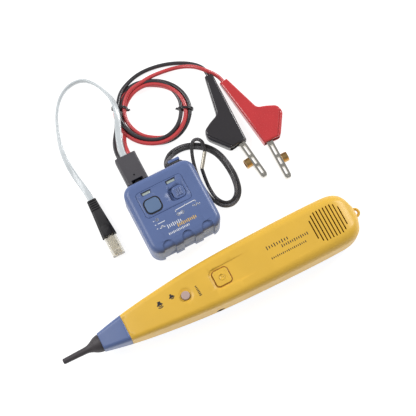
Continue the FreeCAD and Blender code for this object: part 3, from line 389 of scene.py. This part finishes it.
# %% [markdown]
# Each lead ends in a clip's neck, so the clips' places come first. A clip has its own frame, with one axis
# across it and one towards its jaws, and a matrix carries points from that frame to the bench. The two
# clips are mirror images, which the last number of each place says.

# %% Where the clips lie
clip_axis_z = 0.0049
clip_neck = 0.0065
clip_places = {"red": (Vector((0.0808, 0.0770, 0.0)), Vector((0.124, -0.992, 0.0)), 1.0),
               "black": (Vector((0.0792, 0.0870, 0.0)), Vector((-0.028, -0.9996, 0.0)), -1.0)}


def clip_frame(colour):
    """A matrix from a clip's own frame: x across to the flare, y towards the jaws."""
    start, ahead, hand = clip_places[colour]
    across = Vector((-ahead.y * hand, ahead.x * hand, 0.0))
    axes = Matrix((across, ahead, Vector((0.0, 0.0, 1.0)))).transposed().to_4x4()
    return Matrix.Translation(start) @ axes


def behind_neck(colour, distance):
    """A point on the neck's axis, outside the boot."""
    return tuple(clip_frame(colour) @ Vector((clip_neck / 2, -distance, clip_axis_z)))


print("red neck at", [round(value, 4) for value in behind_neck("red", 0.0)])

# %% [markdown]
# The leads' loose coil could be a helix, but real turns wander and climb over each other. A table says how
# far out and how high each strand lies at a few angles, and a loop eases from one row to the next.

# %% Turns of the coil
coil_centre = Vector((0.0239, 0.0808))
coil_turn = math.radians(-27.5)
points_per_turn = 20
# Angle in degrees, distance from the centre and height, in millimetres, of each strand.
red_turns = ((218, 27.8, 1.9), (200, 25.2, 1.9), (180, 22.6, 2.3), (140, 22.2, 4.8), (90, 22.8, 5.3),
             (0, 26.0, 5.3), (-90, 26.6, 5.2), (-135, 28.2, 5.0), (-180, 30.2, 4.9), (-225, 25.6, 3.4),
             (-270, 23.2, 1.8), (-360, 27.0, 1.8), (-405, 23.8, 1.8), (-450, 20.6, 2.7), (-495, 21.2, 4.4),
             (-540, 22.9, 5.4), (-585, 25.2, 7.0), (-610, 27.4, 6.8))
black_turns = ((203, 30.6, 1.7), (180, 29.0, 1.9), (135, 28.8, 2.4), (90, 26.9, 2.2), (0, 29.4, 4.2),
               (-45, 27.8, 2.4), (-90, 25.2, 1.8), (-135, 25.4, 3.6), (-160, 25.8, 5.0), (-180, 26.3, 5.0),
               (-225, 25.6, 4.6), (-270, 25.6, 5.2), (-330, 23.4, 4.4), (-360, 22.0, 4.4), (-450, 23.4, 4.8),
               (-495, 24.8, 6.5), (-540, 27.6, 7.6), (-566, 29.6, 6.4))


def coil_points(turns):
    """Points round the coil, eased between the listed places."""
    points = []
    for (angle, reach, height), (next_angle, next_reach, next_height) in zip(turns, turns[1:]):
        steps = max(1, round(abs(next_angle - angle) * points_per_turn / 360))
        for step in range(steps):
            share = step / steps
            ease = share * share * (3 - 2 * share)
            turn = math.radians(angle + (next_angle - angle) * share) + coil_turn
            distance = (reach + (next_reach - reach) * ease) / 1000
            points.append((coil_centre.x + distance * math.cos(turn),
                           coil_centre.y + distance * math.sin(turn),
                           (height + (next_height - height) * ease) / 1000))
    return points


print("coil points:", len(coil_points(red_turns)), "red and", len(coil_points(black_turns)), "black")

# %% Red and black test leads
red_route = [(-0.0090, block_end, lead_z), (-0.0090, 0.0584, lead_z), (-0.0082, 0.0645, 0.0104),
             (-0.0062, 0.0704, 0.0058)]
red_route += coil_points(red_turns)
red_route += [(0.0266, 0.1062, 0.0062), (0.0346, 0.1077, 0.0046), (0.0440, 0.1078, 0.0030),
              (0.0540, 0.1062, 0.0034), (0.0622, 0.1032, 0.0050), (0.0690, 0.0984, 0.0078),
              (0.0746, 0.0922, 0.0090), behind_neck("red", 0.006), behind_neck("red", 0.0)]
black_route = [(-0.0174, block_end, lead_z), (-0.0174, 0.0584, lead_z), (-0.0165, 0.0648, 0.0098),
               (-0.0144, 0.0712, 0.0050), (-0.0108, 0.0774, 0.0024)]
black_route += coil_points(black_turns)
black_route += [(0.0064, 0.1048, 0.0056), (0.0142, 0.1104, 0.0038), (0.0268, 0.1151, 0.0018),
                (0.0400, 0.1150, 0.0017), (0.0532, 0.1120, 0.0017), (0.0646, 0.1068, 0.0017),
                (0.0716, 0.1016, 0.0018), (0.0752, 0.0966, 0.0028), behind_neck("black", 0.0046),
                behind_neck("black", 0.0)]
leads = {}
lead_lengths = {}
for colour, route in (("red", red_route), ("black", black_route)):
    lead = route_curve(colour + "_test_lead", route)
    lead_lengths[colour] = line_length(route_line(lead))
    lead.data.bevel_depth = lead_diameter / 2
    lead.data.bevel_resolution = 5
    lead.data.use_fill_caps = True
    lead.data.materials.append(materials[colour + "_jacket"])
    leads[colour] = lead
print("lead lengths:", {colour: round(length, 3) for colour, length in lead_lengths.items()})

# %% [markdown]
# The flat cable is a tape with round edges. It leaves the block lying flat, turns on to its edge round the
# loop, as a tape must to bend sideways, and lies flat again where it goes into the plug's boot. A curve
# with a drawn cross-section does this: the tilt of each point turns the tape.

# %% Flat cable
flat_width = 0.0050
flat_thick = 0.0022
flat_route = [(-0.0132, block_end, lead_z), (-0.0132, 0.0614, lead_z), (-0.0094, 0.0734, 0.0130),
              (-0.0044, 0.0845, 0.0114), (-0.0009, 0.0946, 0.0104), (-0.0002, 0.1040, 0.0094),
              (-0.0030, 0.1146, 0.0074), (-0.0072, 0.1236, 0.0052), (-0.0130, 0.1300, 0.0036),
              (-0.0206, 0.1318, 0.0028), (-0.0296, 0.1296, 0.0026), (-0.0380, 0.1228, 0.0026),
              (-0.0448, 0.1126, 0.0026), (-0.0498, 0.0998, 0.0026), (-0.0532, 0.0866, 0.0026),
              (-0.0540, 0.0734, 0.0026), (-0.0529, 0.0608, 0.0028), (-0.0513, 0.0506, 0.0036),
              (-0.0505, 0.0445, 0.0042), (-0.0505, 0.0385, 0.0042)]
flat_tilts = [math.radians(angle) for angle in (0, 0, 5, 15, 30, 50, 70, 85, 90, 90, 90, 90, 85, 75, 60, 45,
                                                25, 10, 0, 0)]


def tape_section(width, thick):
    """A flat closed outline with half-round edges, for the tape to follow."""
    outline = bpy.data.curves.new("tape_section", "CURVE")
    spline = outline.splines.new("POLY")
    radius = thick / 2
    reach = width / 2 - radius
    corners = []
    for side in (1, -1):
        for step in range(9):
            angle = math.pi * step / 8 - math.pi / 2
            corners.append((side * (reach + radius * math.cos(angle)), side * radius * math.sin(angle)))
    spline.points.add(len(corners) - 1)
    for index, (x, y) in enumerate(corners):
        spline.points[index].co = (x, y, 0.0, 1.0)
    spline.use_cyclic_u = True
    section = bpy.data.objects.new("tape_section", outline)
    scene.collection.objects.link(section)
    return section


def as_mesh(piece, name):
    """A mesh piece with a curve piece's final shape, in its place."""
    graph = bpy.context.evaluated_depsgraph_get()
    mesh = bpy.data.meshes.new_from_object(piece.evaluated_get(graph))
    mesh.name = name
    solid = bpy.data.objects.new(name, mesh)
    scene.collection.objects.link(solid)
    bpy.data.objects.remove(piece)
    return solid


tape = route_curve("flat_cable_route", flat_route, flat_tilts)
tape_line = route_line(tape)
tape.data.twist_mode = "Z_UP"
section = tape_section(flat_width, flat_thick)
tape.data.bevel_mode = "OBJECT"
tape.data.bevel_object = section
tape.data.use_fill_caps = True
flat_cable = as_mesh(tape, "flat_plug_cable")
bpy.data.objects.remove(section)
flat_cable.data.materials.clear()
flat_cable.data.materials.append(materials["white_cable"])
print("flat cable length:", round(line_length(tape_line), 3), "faces:", len(flat_cable.data.polygons))

# %% [markdown]
# The lanyard is one cord laid double: both strands run side by side out from the lug and back, and the two
# ends meet in a metal ferrule after hooking over the band. The strands are set half a diameter to each
# side of one middle line, so they never drift apart.

# %% Lanyard route
lanyard_diameter = 0.0028
strand_gap = 0.0001
band = ((0.0180, 0.0422, 0.0050), (0.0254, 0.0452, 0.0016), (0.0340, 0.0448, 0.0014),
        (0.0418, 0.0412, 0.0014), (0.0486, 0.0360, 0.0014), (0.0538, 0.0278, 0.0014),
        (0.0562, 0.0156, 0.0014), (0.0562, 0.0032, 0.0014), (0.0534, -0.0072, 0.0014),
        (0.0466, -0.0126, 0.0014), (0.0390, -0.0112, 0.0014), (0.0344, -0.0044, 0.0014))
lanyard_wrap = [(0.01165, 0.0352, 0.0152), (0.01305, 0.0312, 0.0196), (0.02375, 0.0312, 0.0196),
                (0.02375, 0.0312, 0.0084), (0.01305, 0.0312, 0.0084), (0.01145, 0.0354, 0.0108)]
lanyard_start = [(0.0368, 0.0226, 0.0016), (0.0352, 0.0134, 0.0014), (0.0348, 0.0040, 0.0014)]
lanyard_end = [(0.0312, 0.0040, 0.0014), (0.0307, 0.0130, 0.0014), (0.0315, 0.0224, 0.0020),
               (0.0340, 0.0332, 0.0034), (0.0378, 0.0424, 0.0042), (0.0416, 0.0462, 0.0034),
               (0.0456, 0.0446, 0.0040), (0.0472, 0.0398, 0.0040), (0.0450, 0.0336, 0.0030)]


def strand(side):
    """One strand of the doubled cord, beside the band's middle line."""
    half = (lanyard_diameter + strand_gap) / 2
    points = []
    for index, point in enumerate(band):
        before = Vector(band[max(index - 1, 0)])
        after = Vector(band[min(index + 1, len(band) - 1)])
        run = (after - before).to_2d().normalized()
        points.append((point[0] - side * half * run.y, point[1] + side * half * run.x, point[2]))
    return points


lanyard_route = lanyard_start + strand(-1)[::-1] + lanyard_wrap + strand(1) + lanyard_end
lanyard_curve = route_curve("lanyard_route", lanyard_route)
lanyard_line = route_line(lanyard_curve)
lanyard_curve.data.bevel_depth = lanyard_diameter / 2
lanyard_curve.data.bevel_resolution = 6
lanyard_curve.data.use_fill_caps = True
lanyard = as_mesh(lanyard_curve, "braided_lanyard")
lanyard.data.materials.clear()
lanyard.data.materials.append(materials["black_cord"])
print("lanyard length:", round(line_length(lanyard_line), 3))

# %% [markdown]
# ## Pieces from the CAD nodes
# Most CAD nodes already have the right shape, but their triangles are loose, so light would show every
# facet. A copy of the node has its doubled points merged and its edges marked sharp by angle, and a
# Weighted Normal modifier keeps its flat faces flat beside the curved ones. A small bevel on machined and
# moulded edges catches the light as a real edge does.

# %% Make a finished piece
def finish_piece(piece, finish, body, slot, *replaced):
    """Give a piece its material and body, and hide the nodes it stands for; slot is not used."""
    piece.data.materials.clear()
    piece.data.materials.append(materials[finish])
    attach(piece, body)
    if replaced:
        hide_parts(*replaced)
    return piece


def shade_smooth(piece, angle):
    """Smooth shading with sharp edges by angle, and flat faces kept flat."""
    mesh = piece.data
    mesh.polygons.foreach_set("use_smooth", [True] * len(mesh.polygons))
    mesh.set_sharp_from_angle(angle=math.radians(angle))
    weighted = piece.modifiers.new("flat_faces_stay_flat", "WEIGHTED_NORMAL")
    weighted.keep_sharp = True


weld_distance = 0.000002


def from_node(node, finish=None, bevel=0.0, angle=32.0):
    """A smooth copy of a CAD node that stands for it."""
    shape = bmesh.new()
    shape.from_mesh(frame["nodes"][node].data)
    bmesh.ops.remove_doubles(shape, verts=shape.verts, dist=weld_distance)
    if bevel:
        bmesh.ops.dissolve_limit(shape, angle_limit=math.radians(1.0), verts=shape.verts, edges=shape.edges)
    mesh = bpy.data.meshes.new(node + "_finished")
    shape.to_mesh(mesh)
    shape.free()
    piece = bpy.data.objects.new(node + "_finished", mesh)
    scene.collection.objects.link(piece)
    if bevel:
        edge = piece.modifiers.new("soft_edge", "BEVEL")
        edge.width = bevel
        edge.segments = 2
        edge.limit_method = "ANGLE"
        edge.angle_limit = math.radians(angle)
        edge.harden_normals = True
    shade_smooth(piece, angle)
    return finish_piece(piece, finish or slot_of[node], body_of[node], slot_of[node], node)


print("piece helpers ready")

# %% [markdown]
# The cases, buttons, door, nose and wheel are smooth mouldings with radii of their own, so they are only
# welded and shaded. Small hard parts have sharp CAD edges and get a fine bevel, which costs few faces on
# pieces this small. Everything else that shows keeps its own node and only takes its finish.

# %% Cases and controls
smooth_nodes = ("toner_front_cover", "toner_back_cover", "toner_battery_door", "toner_lead_gland",
                "toner_mode_button", "toner_button_seal", "toner_slide_knob",
                "probe_front_shell", "probe_back_shell", "probe_battery_door", "probe_nose", "probe_tip",
                "probe_power_button", "probe_filter_button", "probe_volume_wheel", "probe_earphone_jack",
                "plug_boot", "probe_speaker")
pieces = {node: from_node(node) for node in smooth_nodes}
print("smoothed:", sum(len(piece.data.polygons) for piece in pieces.values()), "faces")

# %% Small pieces with a soft edge
for node in ("lead_junction_block", "toner_mode_lens", "toner_test_lens", "plug_body", "plug_latch"):
    pieces[node] = from_node(node, bevel=0.00025)
pieces["ferrule"] = from_node("lanyard_ferrule", "ferrule_tin", bevel=0.0002)
print("soft-edged pieces ready")

# %% Finish every node that still shows
for name, node in frame["nodes"].items():
    node.data.materials.clear()
    node.data.materials.append(materials[slot_of[name]])
print("nodes with a finish:", len(frame["nodes"]))

# %% [markdown]
# ## Vinyl clip boots
# A boot is a flat-sided sleeve: square at the neck, flared over the spring, open where the jaws come out. A
# face is drawn on its outline, its corners are rounded as vertex bevels, and it is drawn up to its
# thickness. A bevel softens every long edge, planes cut across it let the neck taper, and a groove marks the
# rim of the slanted side. The mouth is left open and a Solidify modifier gives the sleeve its wall. One
# function makes it in the clip's frame and a matrix lays it in place.

# %% Boots
boot_outline = ((0.0, 0.0), (0.0, 0.0607), (0.0074, 0.0615), (0.0140, 0.0628), (0.0270, 0.0472),
                (0.0262, 0.0406), (0.0185, 0.0359), (0.0122, 0.0332), (0.0065, 0.0))
boot_thick = 0.0098
boot_wall = 0.0013
taper_end = 0.034
taper_cuts = 5
corner_round = 0.0024
rim_round = 0.0018
groove_middle = 0.0025
groove_half = 0.0007
groove_depth = 0.0005
mouth_y = 0.0605
near = 0.00001


def cut_across(shape, point, direction):
    """Cut a whole mesh by a plane, keeping both sides."""
    bmesh.ops.bisect_plane(shape, geom=shape.verts[:] + shape.edges[:] + shape.faces[:], plane_co=point,
                           plane_no=direction)


def vinyl_boot(colour):
    """One boot on its clip's frame, open at the jaws."""
    shape = bmesh.new()
    corners = [shape.verts.new((x, y, 0.0)) for x, y in boot_outline]
    outline = shape.faces.new(corners)
    rounded = [vertex for vertex in corners if vertex.co.x > 0.012]
    bmesh.ops.bevel(shape, geom=rounded, offset=corner_round, segments=5, profile=0.5, affect="VERTICES",
                    material=-1)
    drawn = bmesh.ops.extrude_face_region(shape, geom=shape.faces[:])
    risen = [item for item in drawn["geom"] if isinstance(item, bmesh.types.BMVert)]
    bmesh.ops.translate(shape, verts=risen, vec=(0.0, 0.0, boot_thick))
    bmesh.ops.recalc_face_normals(shape, faces=shape.faces)
    rims = [edge for edge in shape.edges if abs(edge.verts[0].co.z - edge.verts[1].co.z) < near]
    bmesh.ops.bevel(shape, geom=rims, offset=rim_round, segments=4, profile=0.5, affect="EDGES",
                    clamp_overlap=False, material=-1)
    for step in range(1, taper_cuts + 1):
        cut_across(shape, (0.0, taper_end * step / taper_cuts, 0.0), (0.0, 1.0, 0.0))
    for vertex in shape.verts:
        slim = 1.0 - (1.0 - clip_neck / boot_thick) * max(0.0, 1.0 - vertex.co.y / taper_end)
        vertex.co.z = clip_axis_z + (vertex.co.z - boot_thick / 2) * slim
    slope_start, slope_end = Vector((*boot_outline[3], 0.0)), Vector((*boot_outline[4], 0.0))
    slope_out = (slope_end - slope_start).cross(Vector((0.0, 0.0, -1.0))).normalized()
    for depth in (groove_middle + groove_half, groove_middle, groove_middle - groove_half):
        cut_across(shape, slope_start - slope_out * depth, slope_out)
    for vertex in shape.verts:
        if abs((vertex.co - slope_start).dot(slope_out) + groove_middle) < near:
            vertex.co.z -= math.copysign(groove_depth, vertex.co.z - clip_axis_z)
    mouth = [face for face in shape.faces if face.calc_center_median().y > mouth_y
             and abs(face.normal.z) < 0.1 and face.normal.y > 0.9]
    bmesh.ops.delete(shape, geom=mouth, context="FACES")
    bmesh.ops.transform(shape, matrix=clip_frame(colour), verts=shape.verts)
    bmesh.ops.recalc_face_normals(shape, faces=shape.faces)
    mesh = bpy.data.meshes.new(colour + "_vinyl_boot")
    shape.to_mesh(mesh)
    shape.free()
    piece = bpy.data.objects.new(colour + "_vinyl_boot", mesh)
    scene.collection.objects.link(piece)
    wall = piece.modifiers.new("vinyl_wall", "SOLIDIFY")
    wall.thickness = boot_wall
    wall.offset = -1.0
    wall.use_even_offset = True
    shade_smooth(piece, 50)
    print(colour, "boot faces:", len(mesh.polygons))
    return finish_piece(piece, colour + "_vinyl", "toner", colour + "_vinyl", colour + "_clip_boot")


boots = {colour: vinyl_boot(colour) for colour in clip_places}

# %% [markdown]
# ## Wire ties
# Two plastic-covered wires hold the coil. Each is wrapped twice round all the strands and its ends are
# twisted together. A torus would be too round for so flat a bundle, so a curve made on the coil's own axes
# gives the laps, and a short helix at its end gives the twist.

# %% Ties
tie_wire = 0.0011
tie_lift = 0.0028
lap_lean = 0.0006
twist_steps = 10


def wire_tie(name, reach_in, reach_out, top, side):
    """A wire wrapped round the strands on one side of the coil."""
    turn = coil_turn if side > 0 else coil_turn + math.pi
    low = tie_wire / 2 + 0.00005
    loop = []
    middle = (reach_in + reach_out) / 2
    for lean in (-lap_lean, lap_lean):
        loop += [(reach_in, lean, low + 0.002), (reach_in + 0.0008, lean, top * 0.85),
                 (middle, lean * 0.5, top), (reach_out - 0.0008, lean, top * 0.80),
                 (reach_out, lean, low + 0.002), (reach_out - 0.001, lean, low), (middle, lean, low),
                 (reach_in + 0.001, lean, low)]
    for step in range(twist_steps):
        angle = step * math.pi / 2.5
        loop.append((reach_in - 0.0002 * step, lap_lean + lap_lean * math.cos(angle),
                     low + 0.0016 + lap_lean * math.sin(angle)))
    points = []
    for x, y, z in loop:
        y += tie_lift * side
        points.append((coil_centre.x + x * math.cos(turn) - y * math.sin(turn),
                       coil_centre.y + x * math.sin(turn) + y * math.cos(turn), z))
    curve = route_curve(name + "_route", points)
    curve.data.bevel_depth = tie_wire / 2
    curve.data.bevel_resolution = 3
    curve.data.resolution_u = 5
    curve.data.use_fill_caps = True
    return finish_piece(as_mesh(curve, name), "black_vinyl", "toner", "black_vinyl")


ties = [wire_tie("right_tie", 0.0196, 0.0314, 0.0080, 1), wire_tie("left_tie", 0.0200, 0.0324, 0.0096, -1)]
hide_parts("coil_ties")
print("ties:", [tie.name for tie in ties])

# %% [markdown]
# ## Printed marks
# The toner's switch positions and the probe's volume ends are printed in thin ink. A picture laid on the
# face could show them, and so could a mask in the material. Here each mark is a set of short strokes: a bar
# for a straight stroke, and several short bars for an arc. They are real, very thin solids standing a few
# hundredths of a millimetre proud, so that they stay crisp at any size.

# %% Strokes
ink_height = 0.00005
stroke_overlap = 0.6


def printed(name, finish, body, slot, strokes, surface, width):
    """Ink strokes as thin bars between pairs of points, on a height given by surface(x, y)."""
    shape = bmesh.new()
    for (x0, y0), (x1, y1) in strokes:
        start = Vector((x0, y0, surface(x0, y0)))
        end = Vector((x1, y1, surface(x1, y1)))
        run = end - start
        place = Matrix.Translation((start + end) / 2) @ run.to_track_quat("X", "Z").to_matrix().to_4x4()
        size = Matrix.Diagonal((run.length + width * stroke_overlap, width, ink_height * 2, 1.0))
        bmesh.ops.create_cube(shape, size=1.0, matrix=place @ size)
    mesh = bpy.data.meshes.new(name)
    shape.to_mesh(mesh)
    shape.free()
    piece = bpy.data.objects.new(name, mesh)
    scene.collection.objects.link(piece)
    return finish_piece(piece, finish, body, slot)


def arc_strokes(x, y, radius, first, last, steps):
    """Strokes along a round arc, between two angles in degrees."""
    spots = []
    for step in range(steps + 1):
        angle = math.radians(first + (last - first) * step / steps)
        spots.append((x + radius * math.cos(angle), y + radius * math.sin(angle)))
    return list(zip(spots, spots[1:]))


def line_strokes(*spots):
    """Strokes along a bent line."""
    return list(zip(spots, spots[1:]))


print("ink helpers ready")

# %% [markdown]
# The signs are plain, not words: a circle, a line and a stepped line stand for off, steady and changing
# tone. A bracket ties the slide switch to its two positions, which are a joined pair of loops and a wave.

# %% Toner legend
face_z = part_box("toner_front_cover")[1].z


def flat_face(x, y):
    """The toner's face is level."""
    return face_z


rows = [-0.0050 - 0.0032 * row for row in range(3)]
sign_x = -0.0158
step_height = 0.0006
legend = [((-0.0181, y), (-0.0174, y)) for y in rows]
legend += arc_strokes(sign_x + 0.0009, rows[0], 0.0009, 0, 360, 12)
legend += [((sign_x, rows[1]), (sign_x + 0.0056, rows[1]))]
stepped = ((0.0, -1), (0.0014, -1), (0.0014, 1), (0.0028, 1), (0.0028, -1), (0.0042, -1))
legend += line_strokes(*[(sign_x + run, rows[2] + rise * step_height) for run, rise in stepped])
bracket = line_strokes((0.0003, -0.0057), (0.0005, -0.0047), (0.0088, -0.0044), (0.0167, -0.0041),
                       (0.0170, -0.0051))
bracket += [((0.0088, -0.0044), (0.0088, -0.0037))]
ends = arc_strokes(0.0014, -0.0083, 0.0011, 35, 325, 10)
ends += arc_strokes(0.0045, -0.0083, 0.0011, -145, 145, 10)
ends += [((0.0014, -0.0083), (0.0045, -0.0083))]
ripple = [step / 16 for step in range(17)]
ends += line_strokes(*[(0.0137 + 0.0056 * share, -0.0077 + 0.0010 * math.sin(share * 4 * math.pi))
                       for share in ripple])
printed("toner_legend", "white_ink", "toner", "white_cable", legend + bracket + ends, flat_face, 0.00055)
print("legend strokes:", len(legend) + len(bracket) + len(ends))

# %% [markdown]
# The probe's face is curved, so its strokes need the height of the face below them. A ray sent down on the
# finished shell finds it. Two loudspeaker signs stand by the volume wheel, and rows of upright ticks, like
# those of a ruler, fill the printed fields.

# %% Probe face and its signs
probe_y = (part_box("probe_front_shell")[0].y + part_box("probe_front_shell")[1].y) / 2
probe_top = BVHTree.FromObject(pieces["probe_front_shell"], bpy.context.evaluated_depsgraph_get())


def probe_face(x, y):
    """The height of the probe's upper face."""
    return probe_top.ray_cast(Vector((x, y, 0.1)), Vector((0.0, 0.0, -1.0)))[0].z


def speaker_sign(x, y, size, waves):
    """A loudspeaker sign facing -Y: a box, a horn and sound arcs."""
    strokes = []
    for step in range(5):
        share = step / 4
        half = size * (0.42 + 0.58 * max(0.0, share - 0.4) / 0.6)
        level = y - size * 1.1 * share
        strokes.append(((x - half, level), (x + half, level)))
    for ring in range(waves):
        strokes += arc_strokes(x, y - size * 0.9, size * (0.75 + 0.50 * ring), -130, -50, 5)
    return strokes


def tick_row(x0, x1, y, height, count):
    """Upright ticks in a row; every third one is taller."""
    strokes = []
    for step in range(count):
        x = x0 + (x1 - x0) * step / (count - 1)
        half = height / 2 if step % 3 == 0 else height / 3
        strokes.append(((x, y - half), (x, y + half)))
    return strokes


print("probe centre line at y", round(probe_y, 4))

# %% Signs on the probe
signs = speaker_sign(-0.0317, probe_y + 0.0057, 0.0020, 1)
signs += speaker_sign(-0.0421, probe_y + 0.0049, 0.0022, 2)
for step in range(7):
    y = probe_y + 0.0027 - 0.00125 * step
    signs.append(((-0.0130, y), (-0.0123 + 0.00025 * step, y)))
signs += tick_row(0.0470, 0.0640, probe_y + 0.0035, 0.0026, 9)
signs += tick_row(0.0580, 0.0790, probe_y + 0.0000, 0.0020, 13)
signs += tick_row(0.0470, 0.0750, probe_y - 0.0050, 0.0012, 19)
printed("probe_signs", "black_ink", "probe", "black_plastic", signs, probe_face, 0.00065)
print("probe strokes:", len(signs))

# %% [markdown]
# A button stands in a hole a little wider than itself, and the dark line round it is the gap's shade. The
# CAD gap is real but very narrow, so a thin ring of painted shade in brownish ink just outside it carries
# the shade on to the face. The toner's lenses get a painted shadow of their pockets along two edges in the
# same way, and its printed fields get rows of ticks.

# %% Painted shade round the power button's gap
def square_outline(x, y, half, radius):
    """Strokes round a square with round corners."""
    inner = half - radius
    strokes = []
    for quarter, (sx, sy) in enumerate(((1, 1), (-1, 1), (-1, -1), (1, -1))):
        strokes += arc_strokes(x + sx * inner, y + sy * inner, radius, 90 * quarter, 90 * quarter + 90, 4)
    for sign in (1, -1):
        strokes += [((x - inner, y + sign * half), (x + inner, y + sign * half)),
                    ((x + sign * half, y - inner), (x + sign * half, y + inner))]
    return strokes


# Painted shade: a brownish ink ring just outside the button's hole stands in for the shade in the narrow
# gap.
gap_shade_strokes = square_outline(0.0078, probe_y, 0.0066, 0.0031)
printed("power_gap_painted_shade", "gap_shade", "probe", "yellow_plastic", gap_shade_strokes, probe_face, 0.00050)
print("gap strokes:", len(gap_shade_strokes))

# %% Painted lens shadows and scales on the toner
# Painted shadow: black ink strokes along the left and upper edge of each lens stand in for the shadow of its
# pocket.
lens_painted_shadow = []
for x in (-0.0128, 0.0075):
    lens_painted_shadow += line_strokes((x - 0.0037, 0.0160), (x - 0.0037, 0.0185), (x + 0.0037, 0.0185))
printed("toner_lens_painted_shadow", "black_ink", "toner", "black_plastic", lens_painted_shadow, flat_face, 0.00042)
scale_rows = tick_row(-0.0100, 0.0006, -0.0133, 0.0028, 8) + tick_row(-0.0116, 0.0046, -0.0189, 0.0015, 14)
printed("toner_scale", "white_ink", "toner", "white_cable", scale_rows, flat_face, 0.00060)
tone_scale = tick_row(-0.0028, 0.0118, -0.0157, 0.0024, 11)
printed("toner_tone_scale", "orange_ink", "toner", "yellow_plastic", tone_scale, flat_face, 0.00070)
print("toner strokes:", len(lens_painted_shadow) + len(scale_rows) + len(tone_scale))

# %% [markdown]
# A cord rides on the toner's body and stands for its CAD tubes.

# %% Cords ride on the toner
clip_ends = {}
for colour, lead in leads.items():
    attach(lead, "toner")
    colour + "_vinyl"
    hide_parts(colour + "_lead_in", colour + "_lead_out")
    clip_ends[colour] = [boots[colour]]
    for part in ("fixed_jaw", "jaw", "nail_bed", "pin", "spring"):
        clip_ends[colour].append(frame["nodes"][colour + "_clip_" + part])
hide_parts("lead_coil")
clip_ends["red"] + ties
finish_piece(flat_cable, "white_cable", "toner", "white_cable", "flat_cable")
finish_piece(lanyard, "black_cord", "toner", "black_cord", "lanyard_cord")

# %% [markdown]
# ## Floor and light
# More light would whiten a grey floor, but it would also burn out the bright cases, so the floor glows a
# little instead and stays white while the dark cords keep their detail. It has no gloss, because the lamps
# would show in it.

# %% Floor
floor_mesh = bpy.data.meshes.new("floor")
floor_shape = bmesh.new()
bmesh.ops.create_grid(floor_shape, x_segments=1, y_segments=1, size=4.0,
                      matrix=Matrix.Translation((0.0, 0.0, -0.0003)))
floor_shape.to_mesh(floor_mesh)
floor_shape.free()
floor = bpy.data.objects.new("floor", floor_mesh)
scene.collection.objects.link(floor)
paper = Finish("white_paper", (0.36, 0.36, 0.36), 0.9, emission_color=(1.0, 1.0, 1.0, 1.0),
               emission_strength=0.88, specular_ior_level=0.0)
floor_mesh.materials.append(paper.material)
print("floor laid")

# %% [markdown]
# A large soft light behind and to the left shapes the cases. A smaller one on the right opens the shadows,
# and a weak even sky keeps every side readable. The large one stands off the line in which flat black parts
# would mirror it into the camera.

# %% Lights
def soft_light(name, place, size, power):
    light = bpy.data.lights.new(name, "AREA")
    light.shape = "SQUARE"
    light.size = size
    light.energy = power
    lamp = bpy.data.objects.new(name, light)
    aim = (Vector(place) - look_at).to_track_quat("Z", "Y").to_matrix().to_4x4()
    lamp.matrix_world = Matrix.Translation(place) @ aim
    scene.collection.objects.link(lamp)


soft_light("key_light", (-0.75, 0.55, 0.95), 0.8, 12.0)
soft_light("side_light", (1.00, 0.28, 0.70), 0.36, 9.0)
sky = bpy.data.worlds.new("even_sky")
sky.use_nodes = True
sky.node_tree.nodes["Background"].inputs["Color"].default_value = (1.0, 1.0, 1.0, 1.0)
sky.node_tree.nodes["Background"].inputs["Strength"].default_value = 0.28
scene.world = sky
scene.view_settings.view_transform = "Standard"
